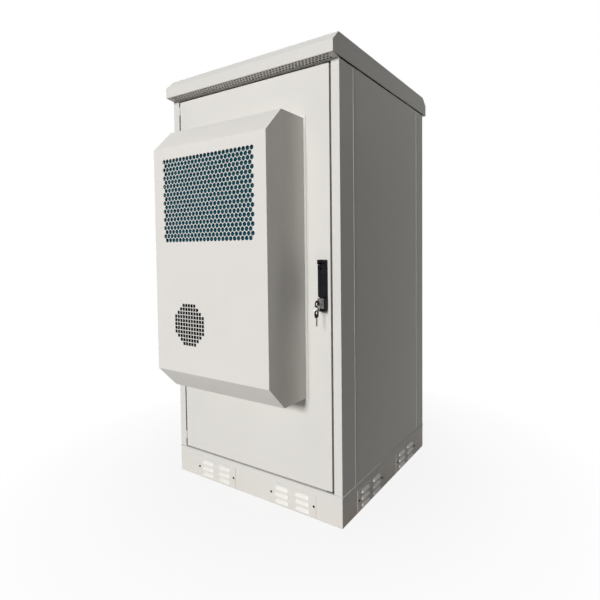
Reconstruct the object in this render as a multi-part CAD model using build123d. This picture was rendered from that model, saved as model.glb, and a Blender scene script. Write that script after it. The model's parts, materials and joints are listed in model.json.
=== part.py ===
from build123d import *
import os
from math import hypot, radians, sin

# Roadside equipment cabinet in millimetres: +X to the right of the door, the door
# faces -Y, +Z up. The origin is on the ground at the centre of the body's footprint.

# Clearances shared by all pieces
overrun = 5.0
slack = 0.3
running_gap = 0.05
seam = 1.5

# Body
body_width = 750.0
body_depth = 708.0
body_height = 1356.0
sheet = 2.0
panel_sheet = 1.5
panel_flange = 18.0

# Plinth
plinth_height = 99.0
plinth_flange = 45.0
anchor_hole_radius = 7.0
anchor_inset_x = 65.0
anchor_inset_y = 22.0
window_width = 150.0
window_height = 54.0

# Plinth vent plates
vent_width = 196.0
vent_height = 74.0
vent_sheet = 1.5
vent_base_gap = 3.5
vent_offset_x = 178.0
vent_offset_y = 158.0
louvre_width = 58.0
louvre_height = 12.0
louvre_rise = 5.0
louvre_pitch_x = 86.0
louvre_pitch_z = 23.0
louvre_columns = 2
louvre_rows = 3
vent_screw_offset = 89.0
vent_screw_radius = 4.0
vent_screw_height = 2.5

# Corner posts
jamb_width = 30.0
jamb_depth = 34.0
stop_width = 27.0
front_post_side = 84.0
back_post_side = 72.0
back_post_width = 60.0
post_return = 40.0

# Door opening members behind the door
rail_height = 40.0
rail_depth = 32.0
sill_height = 27.0

# Rain hood
hood_gap = 6.0
hood_height = 71.0
hood_front_overhang = 35.6
hood_back_overhang = 40.7
hood_front_face = 36.5
hood_back_face = 44.0
hood_front_slope = 34.1
hood_back_slope = 35.1
bearer_width = 40.0
bearer_inset = 150.0
soffit_overlap = 4.0
soffit_slot_width = 56.0
soffit_slot_length = 22.0
soffit_pitch = 68.0

# Cable entry
entry_width = 300.0
entry_depth = 120.0
entry_y = 200.0
gland_plate_rim = 20.0
gland_plate_sheet = 3.0
gland_pitch = 140.0
gland_count = 2
gland_bore = 9.0
gland_barrel = 16.0
gland_nut = 22.0
gland_cap = 17.0
gland_nut_height = 9.0
gland_reach = 24.0

# Rack
depth_rail_width = 30.0
depth_rail_height = 40.0
depth_rail_inset = 20.0
lower_rail_rise = 149.0
upper_rail_drop = 155.0
crossbar_depth = 30.0
rack_opening = 450.0
rack_hole_spacing = 465.1
rack_hole_radius = 3.5
rack_hole_pitch = 889.0
rack_end_margin = 20.0
rack_flange = 25.0
rack_web = 40.0
front_rack_y = -230.0
back_rack_y = 230.0
shelf_lip = 25.0
shelf_overlap = 22.0
shelf_side_gap = 3.0
shelf_slot_width = 12.0
shelf_slot_length = 160.0
shelf_slot_pitch = 60.0
earth_bar_length = 240.0
earth_bar_height = 25.0
earth_bar_thickness = 5.0
earth_bar_offset = 20.0
earth_hole_radius = 4.5
earth_hole_pitch = 120.0
earth_hole_count = 2

# Door
door_gap = 7.0
door_gap_z = 5.0
door_sill_gap = 6.0
door_depth = 24.0
door_lip = 12.0
gasket_width = 10.0

# Hinges, pin on the front plane and centred in the door gap
hinge_knuckle_radius = 3.2
hinge_pin_radius = 1.5
hinge_pin_reach = 13.0
hinge_knuckle_height = 15.0
hinge_leaf_depth = 17.0
hinge_leaf_sheet = 1.5
hinge_inset_top = 33.0
hinge_inset_bottom = 43.0

# Swing handle
handle_inset = 23.0
handle_rise = 68.5
handle_width = 26.0
handle_length = 162.0
handle_bed = 8.0
pivot_below_top = 21.0
lever_length = 97.0
lever_width = 24.0
lever_tip_width = 23.0
lever_thickness = 12.0
lever_slot = 6.6
lever_slot_reach = 10.0
lever_end_round = 4.0
spindle_radius = 7.0
tongue_width = 6.0
tongue_radius = 5.6
tongue_height = 9.0
handle_corner = 4.0
tower_depth = 13.0
lever_pin_radius = 2.0
lock_block_width = 22.0
lock_block_height = 31.0
lock_block_depth = 16.0
lock_gap = 2.5
plug_radius = 6.0
plug_depth = 14.0
plug_proud = 1.0
keyway_depth = 12.0

# Keys on a split ring
key_sheet = 2.5
key_head_width = 22.0
key_head_length = 24.0
key_head_corner = 6.0
key_neck = 5.0
key_eye_radius = 5.0
key_eye_rim = 3.0
key_blade_length = 26.0
key_blade_width = 6.5
key_blade_sheet = 2.0
ring_radius = 10.0
ring_wire = 0.8
ring_sides = 24
ring_play = 0.8

# Lock rods and their gearbox
rod_width = 9.0
rod_sheet = 4.0
rod_offset = 14.0
rod_y_inset = 10.0
rod_past_spindle = 20.0
rod_proud = 2.0
gearbox_width = 41.0
gearbox_height = 70.0
gearbox_depth = 18.0
guide_width = 13.6
guide_height = 20.0
guide_inset = 90.0
keeper_width = 30.0
keeper_depth = 16.0
keeper_sheet = 2.5

# Air conditioner on the door
ac_left_margin = 83.9
ac_right_margin = 95.9
ac_top_margin = 152.0
ac_height = 903.0
ac_depth = 188.8
ac_slope_y = 73.0
ac_slope_z = 76.0
ac_sheet = 1.5
ac_flange = 8.0
grille_margin = 44.1
grille_height = 274.0
grille_pitch = 40.0
grille_hole_radius = 14.5
fan_field_shift = 87.0
fan_field_rise = 239.5
fan_field_radius = 71.5
fan_hole = 14.0
fan_hole_pitch = 19.5
partition_depth = 70.0

# Inside the air conditioner
coil_margin = 36.1
coil_top_margin = 26.0
coil_height = 300.0
coil_depth = 34.0
coil_rim = 12.0
coil_recess = 6.0
fin_pitch = 25.0
fin_gap = 9.0
fin_groove = 12.0
condenser_fan_radius = 62.0
evaporator_fan_radius = 74.0
evaporator_fan_rise = 205.0
fan_blades = 5
fan_blade_sheet = 2.5
fan_blade_chord = 34.0
fan_root_overlap = 4.0
fan_blade_pitch = 35.0
fan_hub_radius = 20.0
fan_hub_depth = 16.0
fan_tip_gap = 6.0
fan_shaft_radius = 3.0
fan_ring_depth = 14.0
fan_ring_wall = 8.0
fan_ring_overlap = 5.0
motor_width = 60.0
motor_depth = 28.0
motor_gap = 4.0
motor_bracket = 24.0
shaft_reach = 18.0
compressor_shift = 116.0
compressor_radius = 52.0
compressor_height = 210.0
compressor_foot = 116.0
tray_rise = 29.0
tray_depth = 108.0
terminal_height = 22.0
terminal_width = 44.0
control_box_shift = 114.0
control_box_drop = 36.5
control_box_width = 130.0
control_box_height = 120.0
control_box_depth = 60.0
indoor_grille_sheet = 2.0
indoor_grille_rim = 15.0
indoor_slot_height = 16.0
indoor_slot_pitch = 34.0

# Places worked out from the sizes above
side_x = body_width / 2
front_y = -body_depth / 2
back_y = body_depth / 2
floor_top = plinth_height + sheet
body_top = plinth_height + body_height
deck_top = body_top + sheet
hood_bottom = deck_top + hood_gap
hood_top = hood_bottom + hood_height
jamb_x = side_x - jamb_width
stop_y = front_y + jamb_depth
door_x = jamb_x - door_gap
door_bottom = floor_top + door_sill_gap
door_top = body_top - door_gap_z
door_back = front_y + door_depth
hinge_x = -jamb_x + door_gap / 2
hinge_heights = [door_bottom + hinge_inset_bottom, (door_bottom + door_top) / 2,
                 door_top - hinge_inset_top]
depth_rail_x = side_x - depth_rail_inset
lower_rail_z = floor_top + lower_rail_rise
upper_rail_z = body_top - upper_rail_drop
rack_hole_span = upper_rail_z - lower_rail_z - depth_rail_height - 2 * rack_end_margin
rack_hole_count = int(rack_hole_span // rack_hole_pitch) + 1
handle_x = door_x - handle_inset
handle_top = (door_bottom + door_top) / 2 + handle_rise
pivot_z = handle_top - pivot_below_top
bed_y = front_y - handle_bed
lever_y = bed_y - slack - lever_thickness / 2
lever_tip_z = pivot_z - lever_length
lock_top = lever_tip_z - lock_gap
lock_z = lock_top - lock_block_height / 2
lock_face = bed_y - lock_block_depth
rod_y = front_y + rod_y_inset
gearbox_y = front_y + sheet
ac_front = front_y - ac_depth
ac_back = front_y - sheet
ac_width = 2 * door_x - ac_left_margin - ac_right_margin
ac_x = (ac_left_margin - ac_right_margin) / 2
ac_high = door_top - ac_top_margin
ac_low = ac_high - ac_height
partition_y = front_y - partition_depth
coil_width = ac_width - 2 * coil_margin
coil_high = ac_high - ac_slope_z - coil_top_margin
coil_low = coil_high - coil_height
grille_width = ac_width - 2 * grille_margin
grille_z = (coil_low + coil_high) / 2
fan_field_x = ac_x - fan_field_shift
fan_field_z = ac_low + fan_field_rise
evaporator_fan_x = ac_x
evaporator_fan_z = ac_low + evaporator_fan_rise
compressor_x = ac_x + compressor_shift
tray_z = ac_low + ac_slope_z + tray_rise
control_box_x = ac_x - control_box_shift
control_box_z = (ac_low + ac_high) / 2 - control_box_drop
key_y = lock_face - plug_proud - key_neck
eye_y = key_y - key_head_length + key_eye_rim + key_eye_radius
hang_z = lock_z - key_eye_radius + ring_wire + ring_play
ring_z = hang_z - ring_radius


def block(x0, x1, y0, y1, z0, z1):
    """Box between two opposite corners."""
    centre = Pos((x0 + x1) / 2, (y0 + y1) / 2, (z0 + z1) / 2)
    return centre * Box(abs(x1 - x0), abs(y1 - y0), abs(z1 - z0))


def bar_x(y, z, radius, x0, x1):
    """Round bar along X."""
    return Pos((x0 + x1) / 2, y, z) * Rot(Y=90) * Cylinder(radius, abs(x1 - x0))


def bar_y(x, z, radius, y0, y1):
    """Round bar along Y."""
    return Pos(x, (y0 + y1) / 2, z) * Rot(X=90) * Cylinder(radius, abs(y1 - y0))


def bar_z(x, y, radius, z0, z1):
    """Round bar along Z."""
    return Pos(x, y, (z0 + z1) / 2) * Cylinder(radius, abs(z1 - z0))


def prism_x(points, x0, x1):
    """Solid with an outline of (y, z) points, from x0 to x1."""
    outline = Polyline(*[(x0, y, z) for y, z in points], close=True)
    return extrude(make_face(outline), amount=x1 - x0, dir=(1, 0, 0))


def prism_y(points, y0, y1):
    """Solid with an outline of (x, z) points, from y0 to y1."""
    outline = Polyline(*[(x, y0, z) for x, z in points], close=True)
    return extrude(make_face(outline), amount=y1 - y0, dir=(0, 1, 0))


def mirrored(solid):
    """The same piece on the other side of the cabinet."""
    return mirror(solid, about=Plane.YZ)


def evenly(count, pitch):
    """Places of a row of equal steps, centred on zero."""
    return [(i - (count - 1) / 2) * pitch for i in range(count)]


def vent_windows(depth, offsets):
    """Cuts behind the vent plates, through a skirt that faces -Y."""
    middle = vent_base_gap + vent_height / 2
    half, rise = window_width / 2, window_height / 2
    y0, y1 = -depth - overrun, -depth + sheet + overrun
    return [block(x - half, x + half, y0, y1, middle - rise, middle + rise) for x in offsets]


def plinth_skirt(length, depth):
    """Channel of the plinth, facing -Y."""
    half, back = length / 2, -depth + plinth_flange
    skirt = block(-half, half, -depth, -depth + sheet, 0, plinth_height)
    skirt += block(-half, half, -depth, back, 0, sheet)
    return skirt + block(-half, half, -depth, back, plinth_height - sheet, plinth_height)


def anchored_skirt():
    """Front skirt with its two floor anchor holes."""
    skirt = plinth_skirt(body_width, body_depth / 2)
    skirt -= vent_windows(body_depth / 2, (-vent_offset_x, vent_offset_x))
    for x in (anchor_inset_x - side_x, side_x - anchor_inset_x):
        skirt -= bar_z(x, front_y + anchor_inset_y, anchor_hole_radius, -overrun, sheet + overrun)
    return skirt


def side_skirt():
    """Plinth channel of the right side; its web runs on between the front and back skirts."""
    skirt = plinth_skirt(body_depth - 2 * plinth_flange, side_x)
    half = body_depth / 2 - sheet
    skirt += block(-half, half, -side_x, -side_x + sheet, sheet, plinth_height - sheet)
    return Rot(Z=90) * (skirt - vent_windows(side_x, (-vent_offset_y, vent_offset_y)))


def louvre(x, z):
    """Pressed louvre hood and the opening under it, in the frame of a vent plate."""
    top, bottom = z + louvre_height / 2, z - louvre_height / 2
    front = -vent_sheet - louvre_rise
    drop = vent_sheet * hypot(louvre_rise, louvre_height) / louvre_rise
    run = drop * louvre_rise / louvre_height
    half = louvre_width / 2
    hood = prism_x([(0, top), (-vent_sheet, top), (front, bottom), (0, bottom)], x - half, x + half)
    inner = half - vent_sheet
    mouth = [(overrun, top - drop), (-vent_sheet, top - drop), (front + run, bottom), (overrun, bottom)]
    return hood, prism_x(mouth, x - inner, x + inner)


def vent_plate():
    """Removable plinth plate with its louvres, back face on y = 0."""
    plate = block(-vent_width / 2, vent_width / 2, -vent_sheet, 0, 0, vent_height)
    for x in evenly(louvre_columns, louvre_pitch_x):
        for z in evenly(louvre_rows, louvre_pitch_z):
            hood, mouth = louvre(x, vent_height / 2 + z)
            plate = plate + hood - mouth
    return plate


def vent_screws():
    """The two screw heads that hold a vent plate."""
    head = extrude(RegularPolygon(vent_screw_radius, 6), amount=vent_screw_height)
    seat = Rot(X=90) * head
    return [Pos(x, -vent_sheet, vent_height / 2) * seat for x in (-vent_screw_offset, vent_screw_offset)]


def vent_places():
    """Where the vent plates sit: two on each side of the plinth."""
    places = []
    for turn, depth, offset in ((0, body_depth, vent_offset_x), (90, body_width, vent_offset_y),
                                (180, body_depth, vent_offset_x), (270, body_width, vent_offset_y)):
        for side in (-1, 1):
            places.append(Rot(Z=turn) * Pos(side * offset, -depth / 2, vent_base_gap))
    return places


def plinth():
    """Skirts, vent plates and their screws."""
    front = anchored_skirt()
    right = side_skirt()
    plate, heads, places = vent_plate(), vent_screws(), vent_places()
    return {
        "plinth_front": front,
        "plinth_back": Rot(Z=180) * front,
        "plinth_right": right,
        "plinth_left": Rot(Z=180) * right,
        "plinth_vent_plates": Compound([place * plate for place in places]),
        "plinth_vent_screws": Compound([place * head for place in places for head in heads]),
    }


def front_post():
    """Left front post: side leg, jamb face, jamb return, door stop and back return."""
    low, high = floor_top, body_top
    edge = front_y + front_post_side
    post = block(-side_x, -side_x + sheet, front_y, edge, low, high)
    post += block(-side_x, -jamb_x, front_y, front_y + sheet, low, high)
    post += block(-jamb_x - sheet, -jamb_x, front_y, stop_y, low, high)
    post += block(-jamb_x - sheet, -jamb_x + stop_width, stop_y - sheet, stop_y, low, high)
    post += block(-side_x, -side_x + post_return, edge - sheet, edge, low, high)
    return post


def back_post():
    """Left back post: side leg, back leg and their returns."""
    low, high = floor_top, body_top
    edge = back_y - back_post_side
    inner = -side_x + back_post_width
    post = block(-side_x, -side_x + sheet, edge, back_y, low, high)
    post += block(-side_x, inner, back_y - sheet, back_y, low, high)
    post += block(inner - sheet, inner, back_y - post_return, back_y, low, high)
    post += block(-side_x, -side_x + post_return, edge, edge + sheet, low, high)
    return post


def side_panel():
    """Left side panel: a shallow pan set between the posts."""
    y0 = front_y + front_post_side + seam
    y1 = back_y - back_post_side - seam
    low, high = floor_top, body_top
    pan = block(-side_x, -side_x + panel_flange, y0, y1, low, high)
    return pan - block(-side_x + panel_sheet, -side_x + panel_flange + overrun,
                       y0 + panel_sheet, y1 - panel_sheet, low + panel_sheet, high - panel_sheet)


def back_panel():
    """Back panel: a shallow pan between the back posts."""
    half = side_x - back_post_width - seam
    low, high = floor_top, body_top
    pan = block(-half, half, back_y - panel_flange, back_y, low, high)
    return pan - block(-half + panel_sheet, half - panel_sheet, back_y - panel_flange - overrun,
                       back_y - panel_sheet, low + panel_sheet, high - panel_sheet)


def floor_pan():
    """Floor sheet, set back from the outside so that it leaves a shadow line."""
    pan = block(-side_x + seam, side_x - seam, front_y + seam, back_y - seam, plinth_height, floor_top)
    return pan - block(-entry_width / 2, entry_width / 2, entry_y - entry_depth / 2,
                       entry_y + entry_depth / 2, plinth_height - overrun, floor_top + overrun)


def door_rail(z0, z1, z_flange):
    """Channel behind the door that its gasket closes on."""
    half = jamb_x - stop_width
    web = block(-half, half, stop_y - sheet, stop_y, z0, z1)
    return web + block(-half, half, stop_y - sheet, stop_y + rail_depth, *z_flange)


def shell():
    """Posts, panels, deck and floor of the body."""
    front, back, side = front_post(), back_post(), side_panel()
    return {
        "post_front_left": front,
        "post_front_right": mirrored(front),
        "post_back_left": back,
        "post_back_right": mirrored(back),
        "side_panel_left": side,
        "side_panel_right": mirrored(side),
        "back_panel": back_panel(),
        "top_deck": block(-side_x, side_x, front_y, back_y, body_top, deck_top),
        "floor_pan": floor_pan(),
        "door_top_rail": door_rail(body_top - rail_height, body_top, (body_top - sheet, body_top)),
        "door_sill": door_rail(floor_top, floor_top + sill_height, (floor_top, floor_top + sheet)),
    }


def hood_outline(wall):
    """Side view of the hood as (y, z) points, moved inwards by a wall."""
    y0 = front_y - hood_front_overhang + wall
    y1 = back_y + hood_back_overhang - wall
    top = hood_top - wall
    front = [(y0, hood_bottom), (y0, hood_bottom + hood_front_face - wall / 2),
             (y0 + hood_front_slope - wall / 2, top)]
    back = [(y1 - hood_back_slope + wall / 2, top), (y1, hood_bottom + hood_back_face - wall / 2),
            (y1, hood_bottom)]
    return front + back


def hood():
    """Folded rain hood, open below."""
    outer = prism_x(hood_outline(0), -side_x, side_x)
    inner = prism_x(hood_outline(sheet), -side_x + sheet, side_x - sheet)
    return outer - inner


def hood_bearers():
    """Two channels that carry the hood on the deck."""
    bearers = []
    half = side_x - sheet
    for y in (front_y + bearer_inset, back_y - bearer_inset):
        y0, y1 = y - bearer_width / 2, y + bearer_width / 2
        bearer = block(-half, half, y0, y1, deck_top, hood_top - sheet)
        bearers.append(bearer - block(-half - overrun, half + overrun, y0 + sheet, y1 + overrun,
                                      deck_top + sheet, hood_top - 2 * sheet))
    return bearers


def soffit(y0, y1):
    """Perforated strip under an overhang of the hood."""
    half = side_x - sheet
    strip = block(-half, half, y0, y1, hood_bottom, hood_bottom + panel_sheet)
    count = int((2 * half - soffit_pitch) // soffit_pitch)
    middle = (y0 + y1) / 2
    low, high = hood_bottom - overrun, hood_bottom + panel_sheet + overrun
    width, length = soffit_slot_width / 2, soffit_slot_length / 2
    return strip - [block(x - width, x + width, middle - length, middle + length, low, high)
                    for x in evenly(count, soffit_pitch)]


def roof():
    """Hood with its bearers and soffits."""
    front_edge = front_y - hood_front_overhang + sheet
    back_edge = back_y + hood_back_overhang - sheet
    soffits = [soffit(front_edge, front_y + soffit_overlap), soffit(back_y - soffit_overlap, back_edge)]
    return {"hood": hood(), "hood_bearers": Compound(hood_bearers()), "hood_soffits": Compound(soffits)}


def cable_gland(x):
    """Cable gland through the gland plate, with its bore open from end to end."""
    low, high = floor_top, floor_top + gland_plate_sheet
    nut = extrude(RegularPolygon(gland_nut, 6), amount=gland_nut_height)
    cap = extrude(RegularPolygon(gland_cap, 6), amount=gland_reach - gland_nut_height)
    gland = bar_z(x, entry_y, gland_barrel, low, high)
    gland += Pos(x, entry_y, low - gland_nut_height) * nut
    gland += Pos(x, entry_y, high) * nut
    gland += Pos(x, entry_y, high + gland_nut_height) * cap
    return gland - bar_z(x, entry_y, gland_bore, low - gland_nut_height - overrun,
                         high + gland_reach + overrun)


def cable_entry():
    """Gland plate over the floor cut-out, with its glands."""
    half_x = entry_width / 2 + gland_plate_rim
    half_y = entry_depth / 2 + gland_plate_rim
    high = floor_top + gland_plate_sheet
    plate = block(-half_x, half_x, entry_y - half_y, entry_y + half_y, floor_top, high)
    places = evenly(gland_count, gland_pitch)
    for x in places:
        plate -= bar_z(x, entry_y, gland_barrel, floor_top - overrun, high + overrun)
    return {"gland_plate": plate, "cable_glands": Compound([cable_gland(x) for x in places])}


def depth_rail(z):
    """Left channel between the front and back posts, open to the side panel."""
    y0, y1 = front_y + front_post_side, back_y - back_post_side
    x0, x1 = -depth_rail_x, -depth_rail_x + depth_rail_width
    top = z + depth_rail_height
    rail = block(x0, x1, y0, y1, z, top)
    return rail - block(x0 - overrun, x1 - sheet, y0 - overrun, y1 + overrun, z + sheet, top - sheet)


def crossbar(y, z):
    """Channel across the cabinet that the rack rails stand between."""
    half = depth_rail_x - depth_rail_width
    inward = 1 if y < 0 else -1
    top = z + depth_rail_height
    bar = block(-half, half, y, y + inward * crossbar_depth, z, top)
    return bar - block(-half - overrun, half + overrun, y + inward * sheet,
                       y + inward * (crossbar_depth + overrun), z + sheet, top - sheet)


def rack_rail(y):
    """Left rack rail with its mounting holes."""
    inner = -rack_opening / 2
    outer = inner - rack_flange
    inward = 1 if y < 0 else -1
    low, high = lower_rail_z + depth_rail_height, upper_rail_z
    rail = block(outer, inner, y, y + inward * sheet, low, high)
    rail += block(outer, outer + sheet, y, y + inward * rack_web, low, high)
    middle = (low + high) / 2
    for step in evenly(rack_hole_count, rack_hole_pitch):
        rail -= bar_y(-rack_hole_spacing / 2, middle + step, rack_hole_radius, y - overrun, y + overrun)
    return rail


def shelf():
    """Equipment shelf on the lower crossbars, slotted for air."""
    half = rack_opening / 2 - shelf_side_gap
    low = lower_rail_z + depth_rail_height
    y0 = front_rack_y + crossbar_depth - shelf_overlap
    y1 = back_rack_y - crossbar_depth + shelf_overlap
    plate = block(-half, half, y0, y1, low, low + sheet)
    plate += block(-half, half, y1 - sheet, y1, low, low + shelf_lip)
    count = int((2 * half - shelf_slot_pitch) // shelf_slot_pitch)
    width, length = shelf_slot_width / 2, shelf_slot_length / 2
    return plate - [block(x - width, x + width, -length, length, low - overrun, low + overrun)
                    for x in evenly(count, shelf_slot_pitch)]


def earth_bar():
    """Copper bar with bent feet on the lower back crossbar."""
    half = earth_bar_length / 2
    low = lower_rail_z + (depth_rail_height - earth_bar_height) / 2
    high = low + earth_bar_height
    y1 = back_rack_y + earth_bar_offset
    bar = block(-half, half, y1, y1 + earth_bar_thickness, low, high)
    for side in (-half, half - earth_bar_thickness):
        bar += block(side, side + earth_bar_thickness, back_rack_y, y1 + earth_bar_thickness, low, high)
    for x in evenly(earth_hole_count, earth_hole_pitch):
        bar -= bar_y(x, (low + high) / 2, earth_hole_radius, y1 - overrun,
                     y1 + earth_bar_thickness + overrun)
    return bar


def rack():
    """Rails, crossbars, shelf and earth bar inside the body."""
    left_depth = [depth_rail(z) for z in (lower_rail_z, upper_rail_z)]
    left_rails = [rack_rail(y) for y in (front_rack_y, back_rack_y)]
    bars = [crossbar(y, z) for y in (front_rack_y, back_rack_y) for z in (lower_rail_z, upper_rail_z)]
    return {
        "depth_rails": Compound(left_depth + [mirrored(rail) for rail in left_depth]),
        "rack_crossbars": Compound(bars),
        "rack_rails": Compound(left_rails + [mirrored(rail) for rail in left_rails]),
        "equipment_shelf": shelf(),
        "earth_bar": earth_bar(),
    }


def door_panel():
    """Door pan with folded lips, air openings, spindle hole and rod holes."""
    pan = block(-door_x, door_x, front_y, door_back, door_bottom, door_top)
    wall_x = door_x - sheet
    pan -= block(-wall_x, wall_x, front_y + sheet, door_back - sheet,
                 door_bottom + sheet, door_top - sheet)
    lip_x = door_x - door_lip
    pan -= block(-lip_x, lip_x, door_back - sheet - overrun, door_back + overrun,
                 door_bottom + door_lip, door_top - door_lip)
    for cut in air_openings(front_y - overrun, front_y + sheet + overrun):
        pan -= cut
    pan -= bar_y(handle_x, pivot_z, spindle_radius + slack, front_y - overrun, front_y + sheet + overrun)
    pan -= rod_channel(handle_x - rod_offset, door_top - sheet - overrun, door_top + overrun)
    return pan - rod_channel(handle_x + rod_offset, door_bottom - overrun, door_bottom + sheet + overrun)


def air_openings(y0, y1):
    """Cuts for the indoor air: return air at the coil and supply air at the fan."""
    half = coil_width / 2 - coil_rim
    coil = block(ac_x - half, ac_x + half, y0, y1, coil_low + coil_rim, coil_high - coil_rim)
    x, z, reach = evaporator_fan_x, evaporator_fan_z, evaporator_fan_radius + fan_tip_gap
    return coil, block(x - reach, x + reach, y0, y1, z - reach, z + reach)


def rod_channel(x, z0, z1):
    """Space that a lock rod slides in."""
    half_x, half_y = rod_width / 2 + slack, rod_sheet / 2 + slack
    return block(x - half_x, x + half_x, rod_y - half_y, rod_y + half_y, z0, z1)


def door_gasket():
    """Foam seal round the back of the door."""
    outer = door_x - (door_lip - gasket_width) / 2
    inner = outer - gasket_width
    rim = door_x - outer
    y1 = stop_y - sheet - slack
    seal = block(-outer, outer, door_back, y1, door_bottom + rim, door_top - rim)
    return seal - block(-inner, inner, door_back - overrun, y1 + overrun,
                        door_bottom + rim + gasket_width, door_top - rim - gasket_width)


def frame_leaf(z):
    """Lower half of a lift-off hinge, on the jamb."""
    leaf = bar_z(hinge_x, front_y, hinge_knuckle_radius, z - hinge_knuckle_height, z)
    return leaf + block(-jamb_x, -jamb_x + hinge_leaf_sheet, front_y, front_y + hinge_leaf_depth,
                        z - hinge_knuckle_height, z)


def door_leaf(z):
    """Upper half of a lift-off hinge, on the door's edge."""
    low, high = z + slack, z + hinge_knuckle_height
    leaf = bar_z(hinge_x, front_y, hinge_knuckle_radius, low, high)
    leaf += block(-door_x - hinge_leaf_sheet, -door_x, front_y, front_y + hinge_leaf_depth, low, high)
    hole = hinge_pin_radius + running_gap
    return leaf - bar_z(hinge_x, front_y, hole, low - overrun, high + overrun)


def hinge_pin(z):
    """Pin that stands on the lower half and enters the upper half."""
    return bar_z(hinge_x, front_y, hinge_pin_radius, z, z + hinge_pin_reach)


def door():
    """Door pan, its seal and the hinges."""
    return {
        "door_panel": door_panel(),
        "door_gasket": door_gasket(),
        "frame_hinge_leaves": Compound([frame_leaf(z) for z in hinge_heights]),
        "door_hinge_leaves": Compound([door_leaf(z) for z in hinge_heights]),
        "hinge_pins": Compound([hinge_pin(z) for z in hinge_heights]),
    }


def handle_base():
    """Handle housing: the lever's low bed, a cap hollowed for its turn and the lock tower below."""
    half = handle_width / 2
    low = handle_top - handle_length
    tower_face = bed_y - tower_depth
    left, right = handle_x - half, handle_x + half
    base = block(left, right, bed_y, front_y, low, handle_top)
    base += block(left, right, tower_face, bed_y, low, lock_top)
    base += block(left, right, tower_face, bed_y, pivot_z + lever_width / 2 + slack, handle_top)
    base += block(left, handle_x, tower_face, bed_y, pivot_z + lever_thickness / 2, handle_top)
    upright = base.edges().filter_by(Axis.Y)
    corners = upright.filter_by_position(Axis.Z, handle_top - slack, handle_top + slack)
    corners += upright.filter_by_position(Axis.Z, low - slack, low + slack)
    base = fillet(corners, handle_corner)
    pocket = lock_block_width / 2 + running_gap
    base -= block(handle_x - pocket, handle_x + pocket, tower_face - overrun, bed_y,
                  lock_top - lock_block_height - running_gap, lock_top + overrun)
    sweep = hypot(lever_width / 2, lever_thickness / 2) + slack
    base -= bar_y(handle_x, pivot_z, sweep, tower_face - overrun, bed_y)
    hole = spindle_radius + running_gap
    return base - bar_y(handle_x, pivot_z, hole, bed_y - overrun, front_y + overrun)


def handle_lever():
    """Tapered lever with a forked, rounded top on the pivot pin."""
    half, tip = lever_width / 2, lever_tip_width / 2
    y0, y1 = lever_y - lever_thickness / 2, lever_y + lever_thickness / 2
    top = pivot_z + lever_thickness / 2
    left, right = handle_x - half, handle_x + half
    lever = block(left, right, y0, y1, lever_tip_z, pivot_z)
    lever += bar_x(lever_y, pivot_z, lever_thickness / 2, left, right)
    shoulder = pivot_z - lever_slot_reach
    outline = [(handle_x - tip, lever_tip_z), (handle_x + tip, lever_tip_z), (right, shoulder),
               (right, top), (left, top), (left, shoulder)]
    lever = lever & prism_y(outline, y0, y1)
    upright = lever.edges().filter_by(Axis.Y)
    corners = upright.filter_by_position(Axis.Z, lever_tip_z - slack, lever_tip_z + slack)
    lever = fillet(corners, lever_end_round)
    slot, hole = lever_slot / 2, lever_pin_radius + running_gap
    lever -= block(handle_x - slot, handle_x + slot, y0 - overrun, y1 + overrun, shoulder, top + overrun)
    return lever - bar_x(lever_y, pivot_z, hole, left - overrun, right + overrun)


def handle_spindle():
    """Spindle through the door, with the tongue that carries the lever."""
    left, right = handle_x - tongue_width / 2, handle_x + tongue_width / 2
    rise = tongue_height / 2
    spindle = bar_y(handle_x, pivot_z, spindle_radius, bed_y, gearbox_y + gearbox_depth)
    spindle += block(left, right, lever_y, bed_y, pivot_z - rise, pivot_z + rise)
    spindle += bar_x(lever_y, pivot_z, tongue_radius, left, right)
    return spindle - bar_x(lever_y, pivot_z, lever_pin_radius, left - overrun, right + overrun)


def keyway(clearance):
    """Space of the key's blade, from its head to the bottom of the keyway."""
    half, rise = key_blade_sheet / 2 + clearance, key_blade_width / 2 + clearance
    bottom = lock_face - plug_proud + keyway_depth
    return block(handle_x - half, handle_x + half, key_y, bottom + clearance, lock_z - rise, lock_z + rise)


def lock_block():
    """Chrome block that holds the lock plug."""
    half = lock_block_width / 2
    low = lock_top - lock_block_height
    body = block(handle_x - half, handle_x + half, lock_face, bed_y, low, lock_top)
    bottom = lock_face + plug_depth + slack
    return body - bar_y(handle_x, lock_z, plug_radius + running_gap, lock_face - overrun, bottom)


def lock_plug():
    """Turning plug with its keyway."""
    plug = bar_y(handle_x, lock_z, plug_radius, lock_face - plug_proud, lock_face + plug_depth)
    return plug - keyway(running_gap)


def key_head():
    """Moulded key head with its eye, flat on XY, with the blade's end at the origin."""
    half, rise = key_head_width / 2, key_sheet / 2
    slab = block(-half, half, -key_head_length, 0, -rise, rise)
    head = chamfer(slab.edges().filter_by(Axis.Z), key_head_corner)
    eye_y = -key_head_length + key_eye_rim + key_eye_radius
    return head - bar_z(0, eye_y, key_eye_radius, -key_sheet, key_sheet)


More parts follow.
